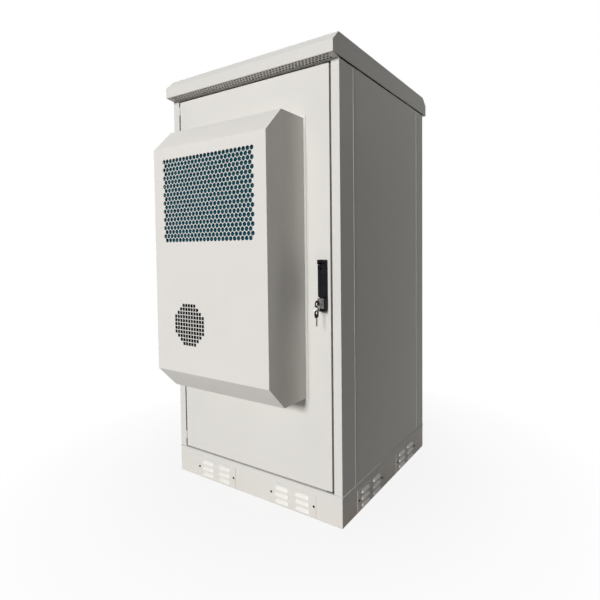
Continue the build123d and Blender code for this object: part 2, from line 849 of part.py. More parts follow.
def keys():
    """Key in the lock, split ring through its eye and the spare key that hangs from it."""
    wire_z = ring_z - ring_radius
    eye_z = wire_z - key_eye_radius + ring_wire + ring_play
    spare_z = eye_z + key_eye_radius + key_eye_rim - key_head_length
    half, rise = key_blade_sheet / 2, key_blade_width / 2
    upright = Rot(Y=90) * key_head()
    ring_face = RegularPolygon(ring_radius + ring_wire, ring_sides)
    ring_face -= RegularPolygon(ring_radius - ring_wire, ring_sides, major_radius=False)
    ring = Rot(X=90) * extrude(ring_face, amount=ring_wire, both=True)
    return {
        "lock_key_head": Pos(handle_x, key_y, lock_z) * upright,
        "lock_key_blade": keyway(0),
        "key_ring": Pos(handle_x, eye_y, ring_z) * ring,
        "spare_key_head": Pos(handle_x, eye_y, spare_z) * Rot(X=-90) * upright,
        "spare_key_blade": block(handle_x - half, handle_x + half, eye_y - rise, eye_y + rise,
                                 spare_z - key_blade_length, spare_z),
    }


def lock_rod(x, z0, z1):
    """Flat rod between the gearbox and a door edge."""
    half_x, half_y = rod_width / 2, rod_sheet / 2
    return block(x - half_x, x + half_x, rod_y - half_y, rod_y + half_y, z0, z1)


def rod_gearbox():
    """Gear housing on the spindle, with a channel for each rod."""
    half = gearbox_width / 2
    low, high = pivot_z - gearbox_height / 2, pivot_z + gearbox_height / 2
    box = block(handle_x - half, handle_x + half, gearbox_y, gearbox_y + gearbox_depth, low, high)
    for x in (handle_x - rod_offset, handle_x + rod_offset):
        box -= rod_channel(x, low - overrun, high + overrun)
    hole = spindle_radius + running_gap
    return box - bar_y(handle_x, pivot_z, hole, gearbox_y - overrun, gearbox_y + gearbox_depth + overrun)


def rod_guide(x, z):
    """Guide block for a rod on the inside of the door skin."""
    half, rise = guide_width / 2, guide_height / 2
    back = rod_y + rod_sheet / 2 + sheet
    guide = block(x - half, x + half, gearbox_y, back, z - rise, z + rise)
    return guide - rod_channel(x, z - rise - overrun, z + rise + overrun)


def rod_keeper(x, z0, z1):
    """Striker plate that a rod end locks into."""
    half_x, half_y = keeper_width / 2, keeper_depth / 2
    plate = block(x - half_x, x + half_x, rod_y - half_y, rod_y + half_y, z0, z1)
    return plate - rod_channel(x, z0 - overrun, z1 + overrun)


def lock():
    """Swing handle, lock, rods and keepers."""
    left, right = handle_x - rod_offset, handle_x + rod_offset
    guides = [rod_guide(left, z) for z in (door_top - guide_inset, (door_top + pivot_z) / 2)]
    guides += [rod_guide(right, z) for z in (door_bottom + guide_inset, (door_bottom + pivot_z) / 2)]
    keepers = [rod_keeper(left, body_top - keeper_sheet, body_top),
               rod_keeper(right, floor_top, floor_top + keeper_sheet)]
    half = lever_width / 2
    return {
        "handle_base": handle_base(),
        "handle_lever": handle_lever(),
        "handle_spindle": handle_spindle(),
        "lever_pin": bar_x(lever_y, pivot_z, lever_pin_radius, handle_x - half, handle_x + half),
        "lock_block": lock_block(),
        "lock_plug": lock_plug(),
        "rod_gearbox": rod_gearbox(),
        "upper_rod": lock_rod(left, pivot_z - rod_past_spindle, door_top + rod_proud),
        "lower_rod": lock_rod(right, door_bottom - rod_proud, pivot_z + rod_past_spindle),
        "rod_guides": Compound(guides),
        "rod_keepers": Compound(keepers),
    }


def cover_outline(wall):
    """Side view of the unit's cover as (y, z) points, moved inwards by a wall."""
    y0, low, high = ac_front + wall, ac_low + wall, ac_high - wall
    bend_y = ac_front + ac_slope_y + wall / 2
    bend_low, bend_high = ac_low + ac_slope_z + wall / 2, ac_high - ac_slope_z - wall / 2
    return [(ac_back, low), (bend_y, low), (y0, bend_low), (y0, bend_high), (bend_y, high), (ac_back, high)]


def grille_holes():
    """Staggered hexagonal punching in front of the condenser."""
    row_pitch = grille_pitch * sin(radians(60))
    rows = int((grille_height - 2 * grille_hole_radius) // row_pitch) + 1
    columns = int((grille_width - 2 * grille_hole_radius) // grille_pitch) + 1
    punch = Rot(X=90) * extrude(RegularPolygon(grille_hole_radius, 6), amount=overrun, both=True)
    holes = []
    for row, z in enumerate(evenly(rows, row_pitch)):
        for x in evenly(columns - row % 2, grille_pitch):
            holes.append(Pos(ac_x + x, ac_front, grille_z + z) * punch)
    return holes


def fan_holes():
    """Square punching inside a circle, in front of the condenser fan."""
    reach = int(fan_field_radius // fan_hole_pitch)
    half = fan_hole / 2
    holes = []
    for column in range(-reach, reach + 1):
        for row in range(-reach, reach + 1):
            if hypot(column, row) * fan_hole_pitch > fan_field_radius:
                continue
            x, z = fan_field_x + column * fan_hole_pitch, fan_field_z + row * fan_hole_pitch
            holes.append(block(x - half, x + half, ac_front - overrun, ac_front + overrun,
                               z - half, z + half))
    return holes


def ac_cover():
    """Folded cover with flat side plates, open to the door, with both punched fields."""
    half = ac_width / 2
    outer = prism_x(cover_outline(0), ac_x - half, ac_x + half)
    inner = prism_x(cover_outline(ac_sheet), ac_x - half + ac_sheet, ac_x + half - ac_sheet)
    return outer - inner - (grille_holes() + fan_holes())


def ac_back_plate():
    """Mounting plate between the cover and the door; its edge shows as a flange."""
    half = ac_width / 2 + ac_flange
    plate = block(ac_x - half, ac_x + half, ac_back, front_y, ac_low - ac_flange, ac_high + ac_flange)
    for cut in air_openings(ac_back - overrun, front_y + overrun):
        plate -= cut
    return plate


def ac_partition():
    """Wall between the outdoor and indoor air, with the compressor tray."""
    half = ac_width / 2 - ac_sheet
    y0 = partition_y - ac_sheet
    wall = block(ac_x - half, ac_x + half, y0, partition_y, ac_low + ac_sheet, ac_high - ac_sheet)
    foot = compressor_foot / 2
    return wall + block(compressor_x - foot, compressor_x + foot, y0 - tray_depth, y0, tray_z - sheet, tray_z)


def finned_coil(y_face, inward):
    """Finned heat exchanger; its frame's face lies on y_face and its body reaches inward."""
    half = coil_width / 2
    y_fins = y_face + inward * coil_recess
    coil = block(ac_x - half, ac_x + half, y_face, y_face + inward * coil_depth, coil_low, coil_high)
    inner = half - coil_rim
    low, high = coil_low + coil_rim, coil_high - coil_rim
    coil -= block(ac_x - inner, ac_x + inner, y_face - inward * overrun, y_fins, low, high)
    count = int((2 * inner - fin_gap) // fin_pitch)
    gap = fin_gap / 2
    y0, y1 = y_fins - inward * overrun, y_fins + inward * fin_groove
    return coil - [block(ac_x + x - gap, ac_x + x + gap, y0, y1, low, high)
                   for x in evenly(count, fin_pitch)]


def fan_rotor(x, y, z, radius):
    """Hub and tilted blades of an axial fan."""
    hub = bar_y(0, 0, fan_hub_radius, -fan_hub_depth / 2, fan_hub_depth / 2)
    root = fan_hub_radius - fan_root_overlap
    blade = Rot(X=fan_blade_pitch) * Box(radius - root, fan_blade_sheet, fan_blade_chord)
    blade = Pos((root + radius) / 2, 0, 0) * blade
    for step in range(fan_blades):
        hub += Rot(Y=step * 360 / fan_blades) * blade
    return Pos(x, y, z) * hub


def fan_ring(x, z, radius, y0):
    """Square duct plate with the round mouth in which a fan turns."""
    inner = radius + fan_tip_gap
    half = inner + fan_ring_wall
    y1 = y0 + fan_ring_depth
    plate = block(x - half, x + half, y0, y1, z - half, z + half)
    return plate - bar_y(x, z, inner, y0 - overrun, y1 + overrun)


def compressor():
    """Compressor can with its terminal cover, standing on the tray."""
    y = partition_y - ac_sheet - tray_depth / 2
    top = tray_z + compressor_height
    half = terminal_width / 2
    can = bar_z(compressor_x, y, compressor_radius, tray_z, top - terminal_height)
    return can + block(compressor_x - half, compressor_x + half, y - half, y + half, top - terminal_height, top)


def slotted_guard(x, z, half, rise):
    """Slotted guard plate on the inside of the door skin."""
    y0 = front_y + sheet
    half_x, half_z = half + indoor_grille_rim, rise + indoor_grille_rim
    plate = block(x - half_x, x + half_x, y0, y0 + indoor_grille_sheet, z - half_z, z + half_z)
    count = int((2 * rise - indoor_slot_height) // indoor_slot_pitch) + 1
    slot = indoor_slot_height / 2
    return plate - [block(x - half, x + half, y0 - overrun, y0 + overrun, z + step - slot, z + step + slot)
                    for step in evenly(count, indoor_slot_pitch)]


def indoor_grilles():
    """Guards over the indoor air openings of the coil and of the fan."""
    fan = evaporator_fan_radius + fan_tip_gap
    return [slotted_guard(ac_x, grille_z, coil_width / 2 - coil_rim, coil_height / 2 - coil_rim),
            slotted_guard(evaporator_fan_x, evaporator_fan_z, fan, fan)]


def condenser_set(skin, outdoor):
    """Outdoor fan on its shaft, and its motor on a bracket of the partition."""
    x, z = fan_field_x, fan_field_z
    y = skin + fan_ring_depth + fan_ring_overlap
    face = y + fan_hub_depth / 2 + motor_gap
    half, bracket = motor_width / 2, motor_bracket / 2
    motor = block(x - half, x + half, face, face + motor_depth, z - half, z + half)
    motor += block(x - bracket, x + bracket, face + motor_depth, outdoor, z - bracket, z + bracket)
    motor -= bar_y(x, z, fan_shaft_radius + running_gap, face - overrun, face + shaft_reach + slack)
    fan = fan_rotor(x, y, z, condenser_fan_radius)
    return fan + bar_y(x, z, fan_shaft_radius, y, face + shaft_reach), motor


def evaporator_set():
    """Indoor fan on its shaft, and its motor on the partition."""
    x, z = evaporator_fan_x, evaporator_fan_z
    face = partition_y + motor_depth
    y = face + motor_gap + fan_hub_depth / 2
    half = motor_width / 2
    motor = block(x - half, x + half, partition_y, face, z - half, z + half)
    motor -= bar_y(x, z, fan_shaft_radius + running_gap, face - shaft_reach - slack, face + overrun)
    fan = fan_rotor(x, y, z, evaporator_fan_radius)
    return fan + bar_y(x, z, fan_shaft_radius, face - shaft_reach, y), motor


def air_conditioner():
    """Cover, coils, fans and compressor of the unit on the door."""
    skin, outdoor = ac_front + ac_sheet, partition_y - ac_sheet
    condenser_fan, condenser_motor = condenser_set(skin, outdoor)
    evaporator_fan, evaporator_motor = evaporator_set()
    rings = [fan_ring(fan_field_x, fan_field_z, condenser_fan_radius, skin),
             fan_ring(evaporator_fan_x, evaporator_fan_z, evaporator_fan_radius, ac_back - fan_ring_depth)]
    half, rise = control_box_width / 2, control_box_height / 2
    return {
        "ac_cover": ac_cover(),
        "ac_back_plate": ac_back_plate(),
        "ac_partition": ac_partition(),
        "condenser_coil": finned_coil(skin, 1),
        "evaporator_coil": finned_coil(ac_back, -1),
        "condenser_fan": condenser_fan,
        "evaporator_fan": evaporator_fan,
        "fan_rings": Compound(rings),
        "fan_motors": Compound([condenser_motor, evaporator_motor]),
        "compressor": compressor(),
        "control_box": block(control_box_x - half, control_box_x + half, outdoor - control_box_depth, outdoor,
                             control_box_z - rise, control_box_z + rise),
        "indoor_grilles": Compound(indoor_grilles()),
    }


def main():
    """Write one STEP file for each sub-part."""
    os.makedirs("parts", exist_ok=True)
    for group in (plinth, shell, roof, cable_entry, rack, door, lock, keys, air_conditioner):
        for name, shape in group().items():
            export_step(shape, f"parts/{name}.step")


if __name__ == "__main__":
    main()
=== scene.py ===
import json
import math

import bmesh
import bpy
from bpy.props import FloatProperty, FloatVectorProperty, IntProperty, PointerProperty
from mathutils import Matrix, Vector


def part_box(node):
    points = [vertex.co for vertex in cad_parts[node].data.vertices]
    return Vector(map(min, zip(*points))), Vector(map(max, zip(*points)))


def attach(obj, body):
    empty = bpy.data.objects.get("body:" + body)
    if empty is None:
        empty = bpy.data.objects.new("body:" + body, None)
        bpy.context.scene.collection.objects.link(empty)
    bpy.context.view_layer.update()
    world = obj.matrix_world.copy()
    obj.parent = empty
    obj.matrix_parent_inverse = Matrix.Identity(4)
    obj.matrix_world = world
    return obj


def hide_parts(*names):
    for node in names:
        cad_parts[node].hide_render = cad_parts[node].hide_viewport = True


bl_info = {
    "name": "Outdoor Equipment Cabinet",
    "version": (1, 0, 0),
    "blender": (4, 5, 0),
    "location": "3D View > Sidebar > Cabinet",
    "description": "Dresses the solid model of an outdoor equipment cabinet for a studio picture",
    "category": "Add Mesh",
}

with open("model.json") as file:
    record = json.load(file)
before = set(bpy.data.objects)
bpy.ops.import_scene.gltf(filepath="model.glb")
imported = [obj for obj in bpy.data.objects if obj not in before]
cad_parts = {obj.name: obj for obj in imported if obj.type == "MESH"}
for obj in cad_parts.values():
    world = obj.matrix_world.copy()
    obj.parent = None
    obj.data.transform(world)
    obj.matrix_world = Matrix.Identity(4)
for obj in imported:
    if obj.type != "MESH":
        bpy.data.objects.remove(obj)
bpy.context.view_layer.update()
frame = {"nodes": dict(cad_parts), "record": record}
SLOT_OF = {part["node"]: part["material_slot"] for part in frame["record"]["subparts"]}
BODY_OF = {node: body for body, nodes in frame["record"]["behaviour"]["bodies"].items() for node in nodes}
MM = 0.001
SAME_POINT = 0.001 * MM
WHITE = (1, 1, 1, 1)


class CabinetPaint(bpy.types.PropertyGroup):
    """Colours and surface of the painted sheet."""
    body_colour: FloatVectorProperty(
        name="Body colour", description="Light grey of the body's powder coat", subtype="COLOR",
        size=4, min=0, max=1, default=(0.70, 0.685, 0.652, 1.0))
    # The louvres' paler colour is a painted highlight: the body's paint made lighter where light would catch
    # the pressed louvres. Their extra gloss is real.
    louvre_highlight_colour: FloatVectorProperty(
        name="Louvre colour", description="Paler and glossier paint of the pressed louvres", subtype="COLOR",
        size=4, min=0, max=1, default=(0.79, 0.775, 0.74, 1.0))
    unit_colour: FloatVectorProperty(
        name="Unit colour", description="Light grey of the air conditioner's powder coat", subtype="COLOR",
        size=4, min=0, max=1, default=(0.74, 0.72, 0.69, 1.0))
    # Warm brown tint that the paints mix in low on the body. It fades with height and is strongest on
    # surfaces facing +X.
    low_tint_colour: FloatVectorProperty(
        name="Low tint colour", description="Dry soil that settles low on the plinth", subtype="COLOR",
        size=4, min=0, max=1, default=(0.76, 0.60, 0.45, 1.0))
    low_tint_reach: FloatProperty(
        name="Low tint reach", description="Height above the ground that the dust reaches", unit="LENGTH",
        default=0.11, min=0.01)
    peel_size: FloatProperty(
        name="Peel size", description="Width of the ripples in the powder coat", unit="LENGTH",
        default=0.0022, min=0.0002)
    fold_radius: FloatProperty(
        name="Fold radius", description="Radius of the folded sheet edges", unit="LENGTH",
        default=0.0011, min=0.0002)


class CabinetVents(bpy.types.PropertyGroup):
    """Punched fields and louvres."""
    grille_columns: IntProperty(
        name="Grille columns", description="Holes in a full row of the grille", default=25, min=2)
    grille_rows: IntProperty(
        name="Grille rows", description="Staggered rows of the grille", default=20, min=2)
    grille_pitch: FloatProperty(
        name="Grille pitch", description="Distance between neighbouring holes", unit="LENGTH",
        default=0.01625)
    grille_row: FloatProperty(
        name="Grille row pitch", description="Distance between the grille's rows", unit="LENGTH",
        default=0.01385)
    grille_hole: FloatProperty(
        name="Grille hole", description="Diameter of a grille hole", unit="LENGTH", default=0.0148)
    fan_hole: FloatProperty(
        name="Fan hole", description="Side of a square hole in front of the fan", unit="LENGTH",
        default=0.0105)
    fan_pitch: FloatProperty(
        name="Fan pitch", description="Distance between the square holes", unit="LENGTH", default=0.01275)
    soffit_hole: FloatProperty(
        name="Soffit hole", description="Diameter of a hole under the hood", unit="LENGTH", default=0.0084)
    soffit_pitch: FloatProperty(
        name="Soffit pitch", description="Distance between the holes under the hood", unit="LENGTH",
        default=0.013)
    soffit_row: FloatProperty(
        name="Soffit row pitch", description="Distance between the rows under the hood", unit="LENGTH",
        default=0.0102)
    soffit_margin: FloatProperty(
        name="Soffit margin", description="Plain end of the strips under the hood", unit="LENGTH",
        default=0.010)
    fin_pitch: FloatProperty(
        name="Fin pitch", description="Distance between the fins of a coil", unit="LENGTH", default=0.0026)


class CabinetStage(bpy.types.PropertyGroup):
    """Camera and light."""
    camera_place: FloatVectorProperty(
        name="Camera place", description="Where the camera stands", subtype="TRANSLATION", unit="LENGTH",
        default=(1.0751, -1.5432, 0.8753))
    camera_yaw: FloatProperty(
        name="Camera yaw", description="Turn to the left of straight ahead", subtype="ANGLE",
        default=math.radians(32.48))
    camera_pitch: FloatProperty(
        name="Camera pitch", description="Tilt above the horizon", subtype="ANGLE",
        default=math.radians(-2.29))
    camera_roll: FloatProperty(
        name="Camera roll", description="Turn about the line of sight", subtype="ANGLE",
        default=math.radians(-0.53))
    camera_lens: FloatProperty(
        name="Lens", description="Focal length in millimetres on a 36 mm sensor", unit="CAMERA",
        default=26.99)
    camera_shift: FloatVectorProperty(
        name="Shift", description="Offset of the picture from the line of sight", size=2,
        default=(-0.0417, -0.0525))
    key_power: FloatProperty(
        name="Key power", description="Power of the large front lamp", subtype="POWER", default=16700.0)
    side_power: FloatProperty(
        name="Side power", description="Power of the small lamp behind on the right", subtype="POWER",
        default=2.5)
    ambient: FloatProperty(name="Ambient", description="Strength of the room light", default=0.018, min=0)
    floor_colour: FloatVectorProperty(
        name="Floor colour", description="Pale studio floor", subtype="COLOR", size=4, min=0, max=1,
        default=(0.38, 0.365, 0.34, 1.0))


def node(tree, kind, inputs=None, **settings):
    """Add a shader node; an input that is given a socket is linked to it."""
    made = tree.nodes.new(kind)
    for key, value in settings.items():
        setattr(made, key, value)
    for key, value in (inputs or {}).items():
        if isinstance(value, bpy.types.NodeSocket):
            tree.links.new(value, made.inputs[key])
        else:
            made.inputs[key].default_value = value
    return made


def math_node(tree, operation, first, second=0.0, clamp=False):
    """Output of a math node on two values."""
    made = node(tree, "ShaderNodeMath", {0: first, 1: second}, operation=operation, use_clamp=clamp)
    return made.outputs[0]


def spread(tree, value, low, high):
    """A value from 0 to 1, taken to the range from low to high."""
    made = node(tree, "ShaderNodeMapRange", {"Value": value, "To Min": low, "To Max": high})
    return made.outputs["Result"]


def new_group(name, inputs, outputs):
    """Empty shader node group with named float sockets, and its input and output nodes."""
    tree = bpy.data.node_groups.new(name, "ShaderNodeTree")
    for title, default in inputs.items():
        socket = tree.interface.new_socket(title, in_out="INPUT", socket_type="NodeSocketFloat")
        socket.default_value = default
    for title in outputs:
        tree.interface.new_socket(title, in_out="OUTPUT", socket_type="NodeSocketFloat")
    return tree, tree.nodes.new("NodeGroupInput"), tree.nodes.new("NodeGroupOutput")


def surface_place(tree, stretch=(1, 1, 1)):
    """Place on the piece in metres, which rides with it."""
    place = node(tree, "ShaderNodeTexCoord").outputs["Object"]
    return node(tree, "ShaderNodeMapping", {"Vector": place, "Scale": stretch}).outputs["Vector"]


def noise(tree, place, scale, detail=2.0, rough=0.5):
    """Output of a noise texture."""
    inputs = {"Vector": place, "Scale": scale, "Detail": detail, "Roughness": rough}
    return node(tree, "ShaderNodeTexNoise", inputs).outputs["Fac"]


def coat_group():
    """Ripples and faint drift in tone of a baked powder coat."""
    tree, given, result = new_group("Powder coat", {"Peel Size": 0.002}, ("Tone", "Gloss", "Height"))
    place = surface_place(tree)
    ripple_scale = math_node(tree, "DIVIDE", 1.0, given.outputs["Peel Size"])
    ripple = noise(tree, place, ripple_scale, detail=1.0, rough=0.4)
    fine = noise(tree, place, math_node(tree, "DIVIDE", 3.2, given.outputs["Peel Size"]))
    drift = noise(tree, place, 3.5, detail=3.0, rough=0.6)
    tone = math_node(tree, "ADD", spread(tree, drift, 0.955, 1.02), spread(tree, fine, -0.012, 0.012))
    tree.links.new(tone, result.inputs["Tone"])
    tree.links.new(spread(tree, drift, 0.38, 0.48), result.inputs["Gloss"])
    height = math_node(tree, "ADD", ripple, spread(tree, fine, 0.0, 0.22))
    tree.links.new(height, result.inputs["Height"])
    return tree


def low_tint_group():
    """Mask of a warm tint that fades with height above the ground and is strongest on surfaces that face +X,
    the right side.
    """
    tree, given, result = new_group("Low warm tint", {"Reach": 0.12, "Amount": 0.3}, ("Mask",))
    place = surface_place(tree)
    rise = node(tree, "ShaderNodeSeparateXYZ", {"Vector": place}).outputs["Z"]
    height_share = math_node(tree, "DIVIDE", rise, given.outputs["Reach"])
    low = math_node(tree, "SUBTRACT", 1.0, height_share, clamp=True)
    patch = spread(tree, noise(tree, place, 14.0, detail=5.0, rough=0.65), 0.25, 1.2)
    normal = node(tree, "ShaderNodeTexCoord").outputs["Normal"]
    facing = node(tree, "ShaderNodeSeparateXYZ", {"Vector": normal})
    patch = math_node(tree, "MULTIPLY", patch, spread(tree, facing.outputs["X"], 0.15, 1.0))
    mask = math_node(tree, "MULTIPLY", math_node(tree, "MULTIPLY", low, low), patch)
    mask = math_node(tree, "MULTIPLY", mask, given.outputs["Amount"], clamp=True)
    tree.links.new(mask, result.inputs["Mask"])
    return tree


def drawn_group():
    """Fine lines of drawn or rolled metal, with soft blotches of tarnish."""
    inputs = {"Line Scale": 900.0, "Tarnish": 0.15}
    tree, given, result = new_group("Drawn metal", inputs, ("Tone", "Gloss", "Height"))
    along = surface_place(tree, stretch=(1, 1, 0.04))
    lines = noise(tree, along, given.outputs["Line Scale"], detail=3.0, rough=0.6)
    blotch = noise(tree, surface_place(tree), 32.0, detail=4.0, rough=0.6)
    loss = math_node(tree, "MULTIPLY", blotch, given.outputs["Tarnish"])
    tone = math_node(tree, "SUBTRACT", spread(tree, lines, 0.96, 1.06), loss)
    tree.links.new(tone, result.inputs["Tone"])
    gloss = math_node(tree, "ADD", spread(tree, lines, 0.20, 0.34), loss)
    tree.links.new(gloss, result.inputs["Gloss"])
    tree.links.new(lines, result.inputs["Height"])
    return tree


def grain_group():
    """Pebbled grain of moulded or cast black parts, with rubbed patches."""
    tree, given, result = new_group("Moulded grain", {"Grain Size": 0.0006}, ("Tone", "Gloss", "Height"))
    place = surface_place(tree)
    size = math_node(tree, "DIVIDE", 1.0, given.outputs["Grain Size"])
    pebble = node(tree, "ShaderNodeTexVoronoi", {"Vector": place, "Scale": size}).outputs["Distance"]
    rub = noise(tree, place, 60.0, detail=4.0, rough=0.6)
    tree.links.new(spread(tree, rub, 0.75, 1.3), result.inputs["Tone"])
    tree.links.new(spread(tree, rub, 0.30, 0.5), result.inputs["Gloss"])
    tree.links.new(pebble, result.inputs["Height"])
    return tree


def new_material(name):
    """New material, with its node tree and its shader."""
    made = bpy.data.materials.new(name)
    made.use_nodes = True
    tree = made.node_tree
    shader = next(n for n in tree.nodes if n.type == "BSDF_PRINCIPLED")
    return made, tree, shader


def tinted(tree, colour, tone):
    """A colour made lighter or darker by a tone that varies over the surface."""
    made = node(tree, "ShaderNodeVectorMath", {0: colour[:3], 1: tone}, operation="MULTIPLY")
    return made.outputs["Vector"]


def relief(tree, shader, height, depth, fold=0.0):
    """Bump the shader's normal by a height that is depth metres deep, and round the folds."""
    bump = node(tree, "ShaderNodeBump", {"Height": height, "Distance": depth, "Strength": 1.0})
    if fold:
        bend = node(tree, "ShaderNodeBevel", {"Radius": fold}, samples=6)
        tree.links.new(bend.outputs["Normal"], bump.inputs["Normal"])
    tree.links.new(bump.outputs["Normal"], shader.inputs["Normal"])


def finish_name(slot):
    """Name of a slot's own material; the solids come with a plain one that has the slot's name."""
    return f"{slot}_finish"


def textured_material(slot, group, group_inputs, colour, depth, metallic=0.0, specular=0.5, fold=0.0):
    """Build a finish whose tone, gloss and relief come from one of the shared groups."""
    _, tree, shader = new_material(finish_name(slot))
    texture = node(tree, "ShaderNodeGroup", node_tree=group)
    for title, value in group_inputs.items():
        texture.inputs[title].default_value = value
    tree.links.new(tinted(tree, colour, texture.outputs["Tone"]), shader.inputs["Base Color"])
    tree.links.new(texture.outputs["Gloss"], shader.inputs["Roughness"])
    shader.inputs["Metallic"].default_value = metallic
    shader.inputs["Specular IOR Level"].default_value = specular
    relief(tree, shader, texture.outputs["Height"], depth, fold)
    return tree, shader


PEEL_DEPTH = 0.12 * MM
FIN_METALLIC = 0.25

# Each drawn metal's colour, scale of its lines, tarnish, and depth of its lines.
DRAWN_METALS = {
    "zinc_steel": ((0.32, 0.32, 0.32), 700.0, 0.12, 0.020 * MM),
    "lock_chrome": ((0.42, 0.42, 0.42), 1400.0, 0.10, 0.006 * MM),
    "key_brass": ((0.34, 0.26, 0.19), 1600.0, 0.20, 0.010 * MM),
    "ring_steel": ((0.55, 0.55, 0.54), 1500.0, 0.12, 0.006 * MM),
    "earth_copper": ((0.72, 0.36, 0.21), 800.0, 0.25, 0.020 * MM),
    "fin_blue": ((0.07, 0.40, 0.52), 700.0, 0.30, 0.010 * MM),
}

# Each moulded or cast black's colour, grain size, depth of the grain, and specular level.
MOULDED_BLACKS = {
    "die_cast": ((0.008, 0.009, 0.011), 0.5 * MM, 0.04 * MM, 0.10),
    "black_plastic": ((0.0065, 0.0075, 0.011), 0.7 * MM, 0.05 * MM, 0.14),
    "gasket": ((0.010, 0.010, 0.010), 1.4 * MM, 0.40 * MM, 0.05),
    "compressor_black": ((0.014, 0.014, 0.015), 1.2 * MM, 0.06 * MM, 0.15),
}


def paint_material(slot, colour, paint, groups, low_tint, fold=0.0, specular=0.18):
    """Build the finish of powder-coated sheet with a warm tint mixed in low on it."""
    inputs = {"Peel Size": paint.peel_size}
    tree, shader = textured_material(
        slot, groups["coat"], inputs, colour, PEEL_DEPTH, specular=specular, fold=fold)
    tinted_colour = shader.inputs["Base Color"].links[0].from_socket
    low_tint_node = node(tree, "ShaderNodeGroup", node_tree=groups["low_tint"])
    low_tint_node.inputs["Reach"].default_value = paint.low_tint_reach
    low_tint_node.inputs["Amount"].default_value = low_tint
    # Mix in the warm tint, low on the body and strongest on surfaces facing +X.
    mixed = node(tree, "ShaderNodeMixRGB", {"Fac": low_tint_node.outputs["Mask"], "Color1": tinted_colour,
                                            "Color2": paint.low_tint_colour})
    tree.links.new(mixed.outputs["Color"], shader.inputs["Base Color"])


def add_finishes(paint):
    """Build a finish for each of the record's slots, the paint of pressed sheet, and the louvres' paint,
    whose paler colour is a painted highlight.
    """
    groups = {"coat": coat_group(), "low_tint": low_tint_group(), "drawn": drawn_group(), "grain": grain_group()}
    paint_material("body_paint", paint.body_colour, paint, groups, low_tint=0.8, fold=2 * paint.fold_radius)
    paint_material("pressed_paint", paint.body_colour, paint, groups, low_tint=0.3)
    # Painted highlight: the louvres' paint is lighter than the body's.
    paint_material("louvre_highlight_paint", paint.louvre_highlight_colour, paint, groups, low_tint=0.2, specular=0.8)
    paint_material("unit_paint", paint.unit_colour, paint, groups, low_tint=0.0)
    for slot, (colour, lines, tarnish, depth) in DRAWN_METALS.items():
        inputs = {"Line Scale": lines, "Tarnish": tarnish}
        metallic = FIN_METALLIC if slot == "fin_blue" else 1.0
        textured_material(slot, groups["drawn"], inputs, colour, depth, metallic=metallic)
    for slot, (colour, grain, depth, specular) in MOULDED_BLACKS.items():
        textured_material(slot, groups["grain"], {"Grain Size": grain}, colour, depth, specular=specular)


def material(slot):
    """Finish of a slot, built with the others on first use."""
    if finish_name(slot) not in bpy.data.materials:
        add_finishes(bpy.context.scene.cabinet_paint)
    return bpy.data.materials[finish_name(slot)]


def finished(build, name="blank", outward=True):
    """Mesh from a bmesh, which is freed; its faces are turned outward unless told otherwise."""
    if outward:
        bmesh.ops.recalc_face_normals(build, faces=build.faces)
    mesh = bpy.data.meshes.new(name)
    build.to_mesh(mesh)
    build.free()
    return mesh


def shade(mesh, limit):
    """Smooth shading over gentle bends; every other edge is sharp."""
    build = bmesh.new()
    build.from_mesh(mesh)
    for face in build.faces:
        face.smooth = True
    for edge in build.edges:
        edge.smooth = len(edge.link_faces) == 2 and edge.calc_face_angle(math.pi) < limit
    build.to_mesh(mesh)
    build.free()


def in_scene(name, data):
    """New object in the scene."""
    made = bpy.data.objects.new(name, data)
    bpy.context.scene.collection.objects.link(made)
    return made


def joined(meshes, name="blank"):
    """One mesh made of several, with their common points welded."""
    build = bmesh.new()
    for part in meshes:
        build.from_mesh(part)
        bpy.data.meshes.remove(part)
    bmesh.ops.remove_doubles(build, verts=build.verts, dist=SAME_POINT)
    return finished(build, name)


SMOOTH_ANGLE = math.radians(35)


def place_piece(name, meshes, cad_node, replaced=True, slot=None, finish=None):
    """Join meshes into a piece that rides with a solid's body and takes its slot's or another finish."""
    mesh = joined(meshes, name)
    shade(mesh, SMOOTH_ANGLE)
    piece = in_scene(name, mesh)
    slot = slot or SLOT_OF[cad_node]
    mesh.materials.append(material(finish or slot))
    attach(piece, BODY_OF[cad_node])
    if replaced:
        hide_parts(cad_node)


def punched_plate(outline, holes, thickness, rim=0.0):
    """Plate in the XY plane, centred on its thickness, with holes and a rounded rim."""
    curve = bpy.data.curves.new("blank", "CURVE")
    curve.dimensions, curve.fill_mode = "2D", "BOTH"
    curve.extrude, curve.bevel_depth, curve.offset = thickness / 2 - rim, rim, -rim
    curve.bevel_resolution = 2 if rim else 0
    for ring in [outline, *holes]:
        spline = curve.splines.new("POLY")
        spline.points.add(len(ring) - 1)
        for point, (u, v) in zip(spline.points, ring):
            point.co = (u, v, 0.0, 1.0)
        spline.use_cyclic_u = True
    carrier = in_scene("blank", curve)
    bpy.context.view_layer.update()
    mesh = bpy.data.meshes.new_from_object(carrier.evaluated_get(bpy.context.evaluated_depsgraph_get()))
    bpy.data.objects.remove(carrier)
    bpy.data.curves.remove(curve)
    return joined([mesh])


def circle(u, v, radius, count=16):
    """Points of a circle."""
    angles = [2 * math.pi * i / count for i in range(count)]
    return [(u + radius * math.cos(angle), v + radius * math.sin(angle)) for angle in angles]


def rectangle(u0, u1, v0, v1):
    """Points of a rectangle."""
    return [(u0, v0), (u1, v0), (u1, v1), (u0, v1)]


def upright(x=0.0, y=0.0, z=0.0):
    """Stands a plate from the XY plane up so that its front faces -Y."""
    return Matrix.Translation((x, y, z)) @ Matrix.Rotation(math.radians(90), 4, "X")


def evenly(count, pitch):
    """Places of a row of equal steps, centred on zero."""
    return [(i - (count - 1) / 2) * pitch for i in range(count)]


